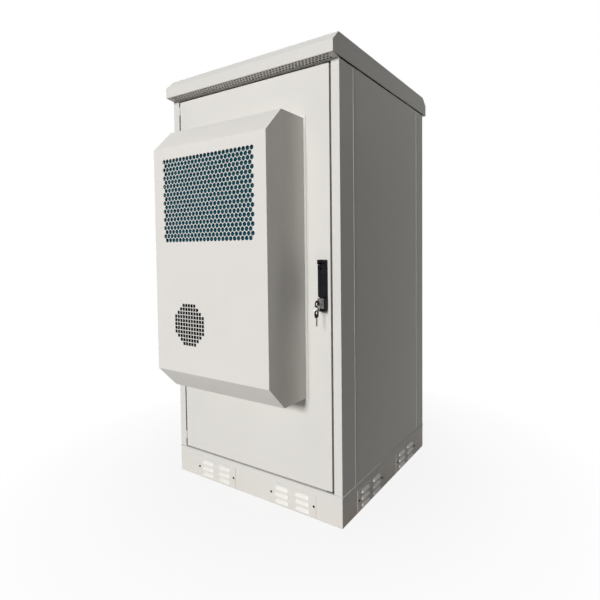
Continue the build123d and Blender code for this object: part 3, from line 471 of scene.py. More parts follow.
def staggered_holes(centre, columns, pitch, rows, row_pitch, diameter, count=16):
    """Circles in staggered rows about a centre; every second row has one less."""
    u0, v0 = centre
    holes = []
    for row, v in enumerate(evenly(rows, row_pitch)):
        for u in evenly(columns - row % 2, pitch):
            holes.append(circle(u0 + u, v0 + v, diameter / 2, count))
    return holes


def box_mesh(low, high, rim=0.0):
    """Box between two corners, with rounded edges."""
    build = bmesh.new()
    bmesh.ops.create_cube(build, size=1.0)
    low, high = Vector(low), Vector(high)
    for vert in build.verts:
        vert.co = Vector(low[i] + (vert.co[i] + 0.5) * (high[i] - low[i]) for i in range(3))
    if rim:
        bmesh.ops.bevel(build, geom=build.edges[:], offset=rim, segments=2, profile=0.5, affect="EDGES")
    return finished(build, outward=False)


def rounded(points, radius, steps=4):
    """Path with its inner corners turned into arcs."""
    path = [Vector(points[0])]
    for before, corner, after in zip(points, points[1:], points[2:]):
        corner = Vector(corner)
        towards, away = (Vector(before) - corner).normalized(), (Vector(after) - corner).normalized()
        half = towards.angle(away) / 2
        reach = radius / math.tan(half)
        centre = corner + (towards + away).normalized() * radius / math.sin(half)
        start, end = corner + towards * reach - centre, corner + away * reach - centre
        first = math.atan2(start.y, start.x)
        sweep = math.atan2(start.x * end.y - start.y * end.x, start.dot(end))
        for step in range(steps + 1):
            angle = first + sweep * step / steps
            path.append(centre + Vector((math.cos(angle), math.sin(angle))) * radius)
    return path + [Vector(points[-1])]


def bent_sheet(points, radius, thickness, x0, x1):
    """Sheet along a path of (y, z) points, with rounded bends, from x0 to x1; it lies left of the path."""
    path = rounded(points, radius)
    sides = []
    for i, point in enumerate(path):
        ahead = path[min(i + 1, len(path) - 1)] - path[max(i - 1, 0)]
        normal = Vector((-ahead.y, ahead.x)).normalized()
        sides.append((point, point + normal * thickness))
    build = bmesh.new()
    rows = [[build.verts.new((x, p.x, p.y)) for x in (x0, x1) for p in side] for side in sides]
    for a, b in zip(rows, rows[1:]):
        for i, j in ((0, 2), (3, 1), (1, 0), (2, 3)):
            build.faces.new((a[i], a[j], b[j], b[i]))
    for row in (rows[0], rows[-1]):
        build.faces.new((row[0], row[1], row[3], row[2]))
    return finished(build)


def without_joints(mesh, levels):
    """The mesh without its faces that lie flat at the given heights, where one sheet runs on."""
    build = bmesh.new()
    build.from_mesh(mesh)
    inner = [face for face in build.faces
             if any(all(abs(vert.co.z - level) < SAME_POINT for vert in face.verts) for level in levels)]
    bmesh.ops.delete(build, geom=inner, context="FACES_ONLY")
    build.to_mesh(mesh)
    build.free()
    return mesh


def moved(mesh, matrix):
    """The mesh after a move."""
    mesh.transform(matrix)
    return mesh


def lathe(outline, steps):
    """Closed solid turned about Z from (radius, z) points that start and end on the axis."""
    build = bmesh.new()
    rings = []
    for radius, z in outline:
        if radius == 0:
            rings.append([build.verts.new((0, 0, z))])
        else:
            rings.append([build.verts.new((u, v, z)) for u, v in circle(0, 0, radius, steps)])
    for low, high in zip(rings, rings[1:]):
        for i in range(steps):
            j = (i + 1) % steps
            corners = [low[i % len(low)], low[j % len(low)], high[j % len(high)], high[i % len(high)]]
            build.faces.new(list(dict.fromkeys(corners)))
    return finished(build)


def slab(outline, thickness, rim):
    """Prism on the XY plane whose upper edges are rounded."""
    build = bmesh.new()
    low = [build.verts.new((u, v, 0.0)) for u, v in outline]
    high = [build.verts.new((u, v, thickness)) for u, v in outline]
    build.faces.new(low[::-1])
    top = build.faces.new(high)
    for i in range(len(outline)):
        j = (i + 1) % len(outline)
        build.faces.new((low[i], low[j], high[j], high[i]))
    bmesh.ops.recalc_face_normals(build, faces=build.faces)
    bmesh.ops.bevel(build, geom=top.edges[:], offset=rim, segments=3, profile=0.5, affect="EDGES")
    return finished(build, outward=False)


FLAT_ANGLE = math.radians(0.5)
EDGE_ANGLE = math.radians(30)
SHEET_SLOTS = ("body_paint", "unit_paint", "zinc_steel")
SHEET_EDGE_SHARE = 0.7

# Edge radius of the solids that aren't folded sheet.
CAST_EDGES = {
    "handle_base": 1.3 * MM, "handle_lever": 1.7 * MM, "lock_block": 1.2 * MM, "rod_gearbox": 1.5 * MM,
    "rod_guides": 1.0 * MM, "control_box": 1.5 * MM, "cable_glands": 1.0 * MM, "earth_bar": 0.6 * MM,
}

# Solids whose finish isn't that of their slot. The partition's black is painted shade.
COATED_AND_SHADED = {
    "door_hinge_leaves": "pressed_paint", "frame_hinge_leaves": "pressed_paint",
    # The air conditioner's zinc partition is made black as painted shade, so that the space behind the fan
    # reads dark.
    "hinge_pins": "compressor_black", "fan_motors": "compressor_black", "ac_partition": "compressor_black",
    "handle_spindle": "die_cast",
}


def soften(solid, width):
    """Round the sharp edges of a solid with modifiers; its own mesh stays as it is."""
    weld = solid.modifiers.new("Weld", "WELD")
    weld.merge_threshold = 2 * SAME_POINT
    flat = solid.modifiers.new("Flat faces", "DECIMATE")
    flat.decimate_type, flat.angle_limit = "DISSOLVE", FLAT_ANGLE
    fold = solid.modifiers.new("Folded edges", "BEVEL")
    fold.width, fold.segments, fold.limit_method = width, 2, "ANGLE"
    fold.angle_limit, fold.use_clamp_overlap = EDGE_ANGLE, True
    solid.modifiers.new("Even shading", "WEIGHTED_NORMAL").keep_sharp = False


class CABINET_OT_solids(bpy.types.Operator):
    """Give every solid its finish, and round the edges of the sheet and cast solids"""
    bl_idname = "cabinet.solids"
    bl_label = "Finish solids"

    def execute(self, context):
        sheet_edge = SHEET_EDGE_SHARE * context.scene.cabinet_paint.fold_radius
        for name, solid in frame["nodes"].items():
            slot = SLOT_OF[name]
            solid.data.materials.clear()
            solid.data.materials.append(material(COATED_AND_SHADED.get(name, slot)))
            if slot in SHEET_SLOTS or name in CAST_EDGES:
                soften(solid, CAST_EDGES.get(name, sheet_edge))
        return {"FINISHED"}


# The slopes are given by their depth and height, and the fan's field by its middle (x, z) and reach.
COVER_SHEET = 1.0 * MM
COVER_SLOPE = (73.0 * MM, 76.0 * MM)
COVER_BEND = 2.4 * MM
COVER_TURN = 12.0 * MM
COVER_RIM = 0.9 * MM
FAN_FIELD = (-93.0 * MM, 634.5 * MM, 71.5 * MM)
GRILLE_CENTRE = (-6.0 * MM, 1046.0 * MM)
ALONG_X = Matrix(((0, 0, 1, 0), (1, 0, 0, 0), (0, 1, 0, 0), (0, 0, 0, 1)))


def fan_holes(vents):
    """Square holes that fill a circle."""
    u0, v0, reach = FAN_FIELD
    half, steps = vents.fan_hole / 2, int(reach / vents.fan_pitch)
    holes = []
    for i in range(-steps, steps + 1):
        for j in range(-steps, steps + 1):
            if math.hypot(i, j) * vents.fan_pitch <= reach:
                u, v = u0 + i * vents.fan_pitch, v0 + j * vents.fan_pitch
                holes.append(rectangle(u - half, u + half, v - half, v + half))
    return holes


class CABINET_OT_cover(bpy.types.Operator):
    """Build the air conditioner's folded cover with its punched fields"""
    bl_idname = "cabinet.cover"
    bl_label = "Unit cover"

    def execute(self, context):
        vents = context.scene.cabinet_vents
        low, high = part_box("ac_cover")
        slope_y, slope_z = COVER_SLOPE
        left, right = low.x + COVER_SHEET, high.x - COVER_SHEET
        bend_y, bend_low, bend_high = low.y + slope_y, low.z + slope_z, high.z - slope_z
        joint_low, joint_high = bend_low + COVER_TURN, bend_high - COVER_TURN
        top = [(high.y, high.z), (bend_y, high.z), (low.y, bend_high), (low.y, joint_high)]
        bottom = [(low.y, joint_low), (low.y, bend_low), (bend_y, low.z), (high.y, low.z)]
        outline = rectangle(left, right, joint_low, joint_high)
        grille = staggered_holes(GRILLE_CENTRE, vents.grille_columns, vents.grille_pitch,
                                 vents.grille_rows, -vents.grille_row, vents.grille_hole)
        front = punched_plate(outline, grille + fan_holes(vents), COVER_SHEET)
        wrap = [moved(front, upright(y=low.y + COVER_SHEET / 2))]
        for path in (top, bottom):
            wrap.append(bent_sheet(path, COVER_BEND, COVER_SHEET, left, right))
        shell = [without_joints(joined(wrap), (joint_low, joint_high))]
        side = [tuple(p) for p in rounded(top[:3] + bottom[1:], COVER_BEND)]
        for x, flip in ((right, 1), (left, -1)):
            plate = slab(side, COVER_SHEET, COVER_RIM)
            turn = Matrix.Translation((x, 0, 0)) @ Matrix.Diagonal((flip, 1, 1, 1)) @ ALONG_X
            shell.append(moved(plate, turn))
        place_piece("unit_cover", shell, "ac_cover")
        return {"FINISHED"}


COIL_RIM = 12.0 * MM
COIL_RECESS = 6.0 * MM
COIL_BACK = 1.0 * MM
COIL_EDGE = 0.6 * MM
FIN_SHEET = 0.35 * MM


class CABINET_OT_coils(bpy.types.Operator):
    """Build the finned coils behind the grille and inside the door"""
    bl_idname = "cabinet.coils"
    bl_label = "Coils"

    def execute(self, context):
        pitch = context.scene.cabinet_vents.fin_pitch
        for name, front in (("condenser", True), ("evaporator", False)):
            low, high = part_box(f"{name}_coil")
            rim = Vector((COIL_RIM, 0, COIL_RIM))
            inner_low, inner_high = low + rim, high - rim
            y0 = low.y + COIL_RECESS if front else low.y
            y1 = high.y if front else high.y - COIL_RECESS
            back0, back1 = (y1 - COIL_BACK, y1) if front else (y0, y0 + COIL_BACK)
            back = box_mesh((inner_low.x, back0, inner_low.z), (inner_high.x, back1, inner_high.z))
            fins = [back]
            for x in evenly(int((inner_high.x - inner_low.x) / pitch), pitch):
                middle = (inner_low.x + inner_high.x) / 2 + x
                fins.append(box_mesh((middle - FIN_SHEET / 2, y0, inner_low.z),
                                     (middle + FIN_SHEET / 2, y1, inner_high.z)))
            place_piece(f"{name}_fins", fins, f"{name}_coil")
            bars = ((low, (inner_low.x, high.y, high.z)),
                    ((inner_high.x, low.y, low.z), high),
                    ((inner_low.x, low.y, low.z), (inner_high.x, high.y, inner_low.z)),
                    ((inner_low.x, low.y, inner_high.z), (inner_high.x, high.y, high.z)))
            rims = [box_mesh(start, end, COIL_EDGE) for start, end in bars]
            place_piece(f"{name}_rim", rims, f"{name}_coil", replaced=False, slot="zinc_steel")
        return {"FINISHED"}


# The strips drop by this share of their depth towards the body, and are tucked into it.
SOFFIT_DROP = 0.13
SOFFIT_TUCK = 4.0 * MM
# A plain black sheet a little above the strips, which paints the shade inside the hood behind their holes.
SHADE_SHEET_RISE = 3.0 * MM
SHADE_SHEET_THICKNESS = 0.5 * MM


class CABINET_OT_soffits(bpy.types.Operator):
    """Build the perforated strips under the hood's overhangs, and a black sheet behind them that paints the
    shade inside the hood
    """
    bl_idname = "cabinet.soffits"
    bl_label = "Hood soffits"

    def execute(self, context):
        vents = context.scene.cabinet_vents
        low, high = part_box("hood_soffits")
        body_low, body_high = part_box("top_deck")
        strips, shade_sheets = [], []
        for outer, inner in ((low.y, body_low.y), (high.y, body_high.y)):
            edge = inner - math.copysign(SOFFIT_TUCK, inner)
            near, far = min(outer, edge), max(outer, edge)
            rows = int(abs(outer - inner) / vents.soffit_row)
            columns = int((high.x - low.x - 2 * vents.soffit_margin) / vents.soffit_pitch)
            holes = staggered_holes((0, (outer + inner) / 2), columns, vents.soffit_pitch,
                                    rows, vents.soffit_row, vents.soffit_hole, count=12)
            slope = Matrix.Identity(4)
            slope[2][1] = math.copysign(SOFFIT_DROP, outer)
            tilt = Matrix.Translation((0, outer, low.z)) @ slope @ Matrix.Translation((0, -outer, 0))
            strip = punched_plate(rectangle(low.x, high.x, near, far), holes, high.z - low.z)
            strips.append(moved(strip, tilt @ Matrix.Translation((0, 0, (high.z - low.z) / 2))))
            shade_sheet = box_mesh((low.x, near, SHADE_SHEET_RISE), (high.x, far, SHADE_SHEET_RISE + SHADE_SHEET_THICKNESS))
            shade_sheets.append(moved(shade_sheet, tilt))
        place_piece("soffit_strips", strips, "hood_soffits", finish="pressed_paint")
        # Painted shade: a plain black sheet behind the holes.
        place_piece("soffit_shade_sheet", shade_sheets, "hood_soffits", replaced=False, slot="black_plastic")
        return {"FINISHED"}


LIP_RISE = 1.1 * MM
LIP_WIDTH = 3.0 * MM
LIP_RIM = 0.8 * MM
PLINTH_LIP = 1.7 * MM
PLINTH_LIP_RIM = 0.9 * PLINTH_LIP
DECK_SHEET = 1.5 * MM
DECK_FOLD_GAP = 4.8 * MM
DECK_FOLD_RIM = 0.4 * MM
# The black seal above the door stands for a gasket and also paints the shade in the gap there.
SHADE_SEAL_DEPTHS = (4.0 * MM, 20.0 * MM)
SHADE_SEAL_GAP = 0.7 * MM
SHADE_SEAL_RIM = 0.5 * MM


class CABINET_OT_seams(bpy.types.Operator):
    """Add the folded lips along the body's seams, and the black seal above the door, which also paints the
    shade in the gap there
    """
    bl_idname = "cabinet.seams"
    bl_label = "Seams"

    def execute(self, context):
        self.panel_lips()
        self.plinth_lip()
        self.deck_front()
        return {"FINISHED"}

    def panel_lips(self):
        lips = []
        for side in ("left", "right"):
            low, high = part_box(f"side_panel_{side}")
            face = high.x if side == "right" else low.x
            for y in (low.y, high.y - LIP_WIDTH):
                start, end = (face - LIP_RISE, y, low.z), (face + LIP_RISE, y + LIP_WIDTH, high.z)
                lips.append(box_mesh(start, end, LIP_RIM))
        place_piece("panel_lips", lips, "side_panel_right", replaced=False, finish="pressed_paint")

    def plinth_lip(self):
        low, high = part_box("plinth_front")[0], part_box("plinth_back")[1]
        z0, z1, out = high.z - LIP_WIDTH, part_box("side_panel_right")[0].z, PLINTH_LIP
        spans = [((low.x - out, y - out), (high.x + out, y + out)) for y in (low.y, high.y)]
        spans += [((x - out, low.y + out), (x + out, high.y - out)) for x in (low.x, high.x)]
        bars = [box_mesh((*start, z0), (*end, z1), PLINTH_LIP_RIM) for start, end in spans]
        place_piece("plinth_lip", bars, "plinth_front", replaced=False, finish="pressed_paint")

    def deck_front(self):
        low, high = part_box("top_deck")
        door_low, door_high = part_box("door_panel")
        fold_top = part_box("hood_soffits")[0].z - DECK_FOLD_GAP
        fold = box_mesh(low, (high.x, low.y + DECK_SHEET, fold_top), DECK_FOLD_RIM)
        place_piece("deck_fold", [fold], "top_deck", replaced=False, finish="pressed_paint")
        near, far = [low.y + depth for depth in SHADE_SEAL_DEPTHS]
        start, end = (door_low.x, near, door_high.z + SHADE_SEAL_GAP), (door_high.x, far, low.z)
        # Black gasket strip behind the gap above the door; it also paints that gap's shade.
        shade_seal = box_mesh(start, end, SHADE_SEAL_RIM)
        place_piece("door_top_seal_and_shade", [shade_seal], "door_top_rail", replaced=False, slot="gasket")


# A plate has a width, height and sheet, and a louvre a width, height and rise.
BODY_HALF = (375.0 * MM, 354.0 * MM)
VENT_SIZE = (196.0 * MM, 74.0 * MM, 1.5 * MM)
VENT_RIM = 0.3 * MM
VENT_OFFSETS = (178.0 * MM, 158.0 * MM)
VENT_BASE = 3.5 * MM
LOUVRE = (58.0 * MM, 10.0 * MM, 6.5 * MM)
LOUVRE_PITCH = (86.0 * MM, 23.0 * MM)
LOUVRE_STEPS = (28, 7)

# Share of the sheet between a louvre's two skins, and share of that by which the inner one is set back.
LOUVRE_SKIN = 0.75
LOUVRE_SEAT = 0.2

# Powers that shape a louvre down its slope and towards its ends.
LOUVRE_SWELL = 0.9
LOUVRE_TAPER = 0.5

MOUTH_END = 3.0 * MM
MOUTH_TOP = 3.2 * MM
MOUTH_CORNER = 5.0 * MM


def vent_places():
    """Where the vent plates sit: two on each side of the plinth."""
    half_x, half_y = BODY_HALF
    along_x, along_y = VENT_OFFSETS
    places = []
    for turn, depth, offset in ((0, half_y, along_x), (90, half_x, along_y),
                                (180, half_y, along_x), (270, half_x, along_y)):
        facing = Matrix.Rotation(math.radians(turn), 4, "Z")
        places += [facing @ Matrix.Translation((u, -depth, VENT_BASE)) for u in (-offset, offset)]
    return places


def louvre_scoop(u0, v0, sheet):
    """Pressed louvre that bulges out of its plate, round at its ends and open below."""
    width, height, rise = LOUVRE
    columns, rows = LOUVRE_STEPS
    end = height
    build = bmesh.new()
    skins = []
    for inset in (0.0, LOUVRE_SKIN * sheet):
        grid = []
        for i in range(columns + 1):
            u = (i / columns - 0.5) * (width - 2 * inset)
            over = max(0.0, abs(u) - (width / 2 - inset - end)) / end
            share = math.sqrt(max(0.0, 1 - over * over))
            column = []
            for j in range(rows + 1):
                s = j / rows
                v = -height / 2 + (height - inset) * share * (1 - s)
                out = (rise - inset) * s ** LOUVRE_SWELL * share ** LOUVRE_TAPER
                column.append(build.verts.new((u0 + u, -sheet - out + LOUVRE_SEAT * inset, v0 + v)))
            grid.append(column)
        skins.append(grid)
    for grid in skins:
        for a, b in zip(grid, grid[1:]):
            for j in range(rows):
                build.faces.new((a[j], b[j], b[j + 1], a[j + 1]))
    outer, inner = skins
    for j in (rows, 0):
        for i in range(columns):
            build.faces.new((outer[i][j], outer[i + 1][j], inner[i + 1][j], inner[i][j]))
    bmesh.ops.remove_doubles(build, verts=build.verts, dist=SAME_POINT)
    bmesh.ops.dissolve_degenerate(build, edges=build.edges, dist=SAME_POINT / 10)
    return finished(build)


def louvre_mouth(u0, v0):
    """Outline of the opening under a louvre."""
    width, height, _ = LOUVRE
    half = width / 2 - MOUTH_END
    low, high = v0 - height / 2, v0 + height / 2 - MOUTH_TOP
    middle = (low + high) / 2
    return [(u0 - half, low), (u0 + half, low), (u0 + half, middle), (u0 + half - MOUTH_CORNER, high),
            (u0 - half + MOUTH_CORNER, high), (u0 - half, middle)]


class CABINET_OT_vent_plates(bpy.types.Operator):
    """Build the plinth's louvred plates"""
    bl_idname = "cabinet.vent_plates"
    bl_label = "Plinth vent plates"

    def execute(self, context):
        width, height, sheet = VENT_SIZE
        across, up = LOUVRE_PITCH
        spots = [(u, height / 2 + v) for u in evenly(2, across) for v in evenly(3, up)]
        outline = rectangle(-width / 2, width / 2, 0, height)
        blank = punched_plate(outline, [louvre_mouth(u, v) for u, v in spots], sheet, VENT_RIM)
        plate = moved(blank, upright(y=-sheet / 2))
        scoops = joined([louvre_scoop(u, v, sheet) for u, v in spots])
        plates = [moved(plate.copy(), place) for place in vent_places()]
        louvres = [moved(scoops.copy(), place) for place in vent_places()]
        place_piece("vent_plates", plates, "plinth_vent_plates", finish="pressed_paint")
        # The louvres take the paint with the painted highlight.
        place_piece("vent_louvres", louvres, "plinth_vent_plates", replaced=False, finish="louvre_highlight_paint")
        return {"FINISHED"}


SCREW_OFFSET = 89.0 * MM
SCREW_HEAD = (4.0 * MM, 2.5 * MM)

# Fall of the head's dome towards its rim, as a share of its height, and the power that the fall follows.
HEAD_DROP = 0.75
HEAD_POWER = 4

# The cross recess's arms and their length as shares of the head's radius, and its depth of the height.
CROSS_WIDTH = 0.16
CROSS_REACH = 0.62
CROSS_DEPTH = 0.55


def cross_screw(radius, height):
    """Pan head with a cross recess, its seat on the XY plane."""
    build = bmesh.new()
    steps, rings = 32, 8
    grid = []
    for ring in range(1, rings + 1):
        share = ring / rings
        row = []
        for u, v in circle(0, 0, radius * share, steps):
            z = height * (1 - HEAD_DROP * share ** HEAD_POWER)
            if share < CROSS_REACH and min(abs(u), abs(v)) < CROSS_WIDTH * radius:
                z -= CROSS_DEPTH * height
            row.append(build.verts.new((u, v, z)))
        grid.append(row)
    grid.append([build.verts.new((u, v, 0.0)) for u, v in circle(0, 0, radius, steps)])
    hub = build.verts.new((0, 0, (1 - CROSS_DEPTH) * height))
    for i in range(steps):
        j = (i + 1) % steps
        build.faces.new((hub, grid[0][i], grid[0][j]))
        for a, b in zip(grid, grid[1:]):
            build.faces.new((a[i], b[i], b[j], a[j]))
    build.faces.new(grid[-1])
    return finished(build)


class CABINET_OT_screws(bpy.types.Operator):
    """Build the screws of the plinth's vent plates"""
    bl_idname = "cabinet.screws"
    bl_label = "Vent plate screws"

    def execute(self, context):
        _, height, sheet = VENT_SIZE
        heads = []
        for place in vent_places():
            for u in (-SCREW_OFFSET, SCREW_OFFSET):
                heads.append(moved(cross_screw(*SCREW_HEAD), place @ upright(u, -sheet, height / 2)))
        place_piece("vent_screws", heads, "plinth_vent_screws", finish="die_cast")
        return {"FINISHED"}


# A head has a width, length and sheet, an eye a radius and rim, and the ring a radius and wire.
KEY_HEAD = (22.0 * MM, 24.0 * MM, 2.5 * MM)
KEY_HEAD_RIM = 0.7 * MM
KEY_HEAD_POWERS = (0.75, 0.8)
KEY_EYE = (5.0 * MM, 3.0 * MM)
KEY_EYE_EASE = 0.4 * MM
BLADE_RIM = 0.25 * MM
RING = (10.0 * MM, 0.8 * MM)

# Depth of each cut as a share of a full one, a full one's of the blade's width, and the blade's plain steps.
KEY_CUTS = (0.30, 0.62, 0.45, 0.85, 0.55, 0.70)
KEY_CUT_DEPTH = 0.35
KEY_PLAIN_STEPS = 1.5

# Half thickness of the ring's wire, outward and along the ring's axis, as shares of its nominal one.
RING_WIRE_SHARES = (0.72, 0.55)

ON_EDGE = Matrix.Rotation(math.radians(90), 4, "Y")
DOWNWARDS = Matrix.Rotation(math.radians(-90), 4, "X")


def fuller(value, power):
    """A sine or cosine with a squarer curve."""
    return math.copysign(abs(value) ** power, value)


def key_head_mesh():
    """Moulded key head, rounded all over, with its eye; the blade's end is at the origin."""
    width, length, sheet = KEY_HEAD
    eye, rim = KEY_EYE
    across, along = KEY_HEAD_POWERS
    outline = [(fuller(u, across) * width / 2, (fuller(v, along) - 1) * length / 2)
               for u, v in circle(0, 0, 1, count=48)]
    hole = circle(0, -length + rim + eye, eye - KEY_EYE_EASE, count=24)
    return punched_plate(outline, [hole], sheet, KEY_HEAD_RIM)


def blade_mesh(width, length, sheet):
    """Key blade with its bitting, pointing to +Y from the origin."""
    half = width / 2
    step = length / (len(KEY_CUTS) + KEY_PLAIN_STEPS)
    shoulder, ramp, cut_end = 0.6 * step, 0.35 * step, 0.6 * step
    tip, cut_slant, back_slant = 0.3 * half, 0.8 * step, 0.5 * step
    edge = [(half, 0.0)]
    for i, cut in enumerate(KEY_CUTS):
        v = i * step + shoulder
        depth = half - cut * KEY_CUT_DEPTH * width
        edge += [(half, v), (depth, v + ramp), (depth, v + cut_end)]
    edge += [(half, length - cut_slant), (tip, length), (-tip, length), (-half, length - back_slant)]
    return punched_plate(edge + [(-half, 0.0)], [], sheet, BLADE_RIM)


def ring_mesh(radius, wire):
    """Split ring of two turns of wire, about the X axis."""
    build = bmesh.new()
    turns, around, sides = 2, 48, 10
    deep, wide = RING_WIRE_SHARES
    rings = []
    for i in range(turns * around + 1):
        a = 2 * math.pi * i / around
        x = (i / (turns * around) - 0.5) * wire
        outward = Vector((0, math.sin(a), math.cos(a)))
        middle = Vector((x, 0, 0)) + outward * radius
        rings.append([build.verts.new(middle + outward * u * deep + Vector((v * wide, 0, 0)))
                      for u, v in circle(0, 0, wire, sides)])
    for a, b in zip(rings, rings[1:]):
        for i in range(sides):
            j = (i + 1) % sides
            build.faces.new((a[i], a[j], b[j], b[i]))
    build.faces.new(rings[0])
    build.faces.new(rings[-1])
    return finished(build)


class CABINET_OT_keys(bpy.types.Operator):
    """Build the key in the lock, its split ring and the spare key"""
    bl_idname = "cabinet.keys"
    bl_label = "Keys"

    def execute(self, context):
        low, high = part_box("lock_key_head")
        middle = (low + high) / 2
        seat = Matrix.Translation((middle.x, high.y, middle.z)) @ ON_EDGE
        place_piece("key_in_lock", [moved(key_head_mesh(), seat)], "lock_key_head")
        low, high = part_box("spare_key_head")
        middle = (low + high) / 2
        hung = Matrix.Translation((middle.x, middle.y, low.z)) @ DOWNWARDS @ ON_EDGE
        place_piece("spare_key", [moved(key_head_mesh(), hung)], "spare_key_head")
        low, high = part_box("spare_key_blade")
        middle = (low + high) / 2
        blade = blade_mesh(high.y - low.y, high.z - low.z, high.x - low.x)
        hung = Matrix.Translation((middle.x, middle.y, high.z)) @ DOWNWARDS @ ON_EDGE
        place_piece("spare_blade", [moved(blade, hung)], "spare_key_blade")
        low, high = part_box("key_ring")
        hung = Matrix.Translation((low + high) / 2) @ Matrix.Rotation(math.radians(90), 4, "Z")
        place_piece("split_ring", [moved(ring_mesh(*RING), hung)], "key_ring")
        return {"FINISHED"}


PIN_EASE = 0.15 * MM
PIN_RIM = 0.3 * MM


class CABINET_OT_lever_pin(bpy.types.Operator):
    """Build the round pin that the lever lifts on"""
    bl_idname = "cabinet.lever_pin"
    bl_label = "Lever pin"

    def execute(self, context):
        low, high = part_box("lever_pin")
        reach, radius = (high.x - low.x) / 2, (high.z - low.z) / 2 - PIN_EASE
        outline = [(0, -reach), (radius - PIN_RIM, -reach), (radius, PIN_RIM - reach),
                   (radius, reach - PIN_RIM), (radius - PIN_RIM, reach), (0, reach)]
        pin = moved(lathe(outline, steps=48), Matrix.Translation((low + high) / 2) @ ON_EDGE)
        place_piece("round_pin", [pin], "lever_pin", finish="die_cast")
        return {"FINISHED"}


RAIL_SHEET = 2.0 * MM
RAIL_FLANGE = 25.0 * MM
RAIL_WEB = 40.0 * MM
RAIL_END = 8.0 * MM

# Three holes in a rack unit, given by their steps, their offset from the middle and their radius.
RACK_UNIT = 44.45 * MM
RACK_STEPS = (-15.9 * MM, 0.0, 15.85 * MM)
RACK_HOLE = (232.55 * MM, 3.5 * MM)


class CABINET_OT_rack_rails(bpy.types.Operator):
    """Build the rack rails with three holes in every rack unit"""
    bl_idname = "cabinet.rack_rails"
    bl_label = "Rack rails"

    def execute(self, context):
        low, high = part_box("rack_rails")
        middle = (low.z + high.z) / 2
        units = int((high.z - low.z) / RACK_UNIT / 2)
        levels = [middle + i * RACK_UNIT + step for i in range(-units, units + 1) for step in RACK_STEPS]
        levels = [z for z in levels if low.z + RAIL_END < z < high.z - RAIL_END]
        offset, radius = RACK_HOLE
        rails = []
        for side, outer in ((-1, low.x), (1, high.x)):
            inner = outer - side * RAIL_FLANGE
            outline = rectangle(min(outer, inner), max(outer, inner), low.z, high.z)
            holes = [circle(side * offset, z, radius, count=12) for z in levels]
            web_x = sorted((outer, outer - side * RAIL_SHEET))
            for face, inward in ((low.y, 1), (high.y, -1)):
                flange = punched_plate(outline, holes, RAIL_SHEET)
                rails.append(moved(flange, upright(y=face + inward * RAIL_SHEET / 2)))
                web_y = sorted((face + inward * RAIL_SHEET, face + inward * RAIL_WEB))
                rails.append(box_mesh((web_x[0], web_y[0], low.z), (web_x[1], web_y[1], high.z)))
        place_piece("rack_rail_set", rails, "rack_rails")
        return {"FINISHED"}


SENSOR_WIDTH = 36.0
CLIP_RANGE = (0.02, 200.0)
KEY_LAMP = {"place": (1.3, -40.0, 14.5), "target": (0.0, -0.35, 0.75), "size": 10.0}
SIDE_LAMP = {"place": (2.6, 2.9, 2.6), "target": (0.37, 0.1, 1.1), "size": 0.5}
FLOOR_REACH = 40.0
FLOOR_DROP = 0.5 * MM
FLOOR_ROUGHNESS = 0.9

# Distance from the object's middle, and the share of plain white in the floor as it is seen there.
FLOOR_FADE = {"From Min": 0.45, "From Max": 1.2, "To Min": 0.89, "To Max": 1.0}


def camera_turn(stage):
    """Rotation of the camera from its yaw, pitch and roll."""
    yaw, pitch, roll = stage.camera_yaw, stage.camera_pitch, stage.camera_roll
    ahead = Vector((-math.sin(yaw) * math.cos(pitch), math.cos(yaw) * math.cos(pitch), math.sin(pitch)))
    side = Vector((math.cos(yaw), math.sin(yaw), 0))
    top = side.cross(ahead)
    right = side * math.cos(roll) + top * math.sin(roll)
    up = top * math.cos(roll) - side * math.sin(roll)
    return Matrix((right, up, -ahead)).transposed().to_4x4()


def add_lamp(name, power, place, target, size):
    """Square area lamp that faces a target."""
    data = bpy.data.lights.new(name, "AREA")
    data.shape, data.size, data.energy = "SQUARE", size, power
    lamp = in_scene(name, data)
    lamp.location = place
    lamp.rotation_euler = (Vector(target) - Vector(place)).to_track_quat("-Z", "Y").to_euler()


def shown_rays(tree):
    """1 for rays from the camera, a reflection or a clear part, and 0 for the light on the object."""
    path = node(tree, "ShaderNodeLightPath")
    seen = math_node(tree, "ADD", path.outputs["Is Camera Ray"], path.outputs["Is Transmission Ray"])
    return math_node(tree, "ADD", seen, path.outputs["Is Glossy Ray"], clamp=True)


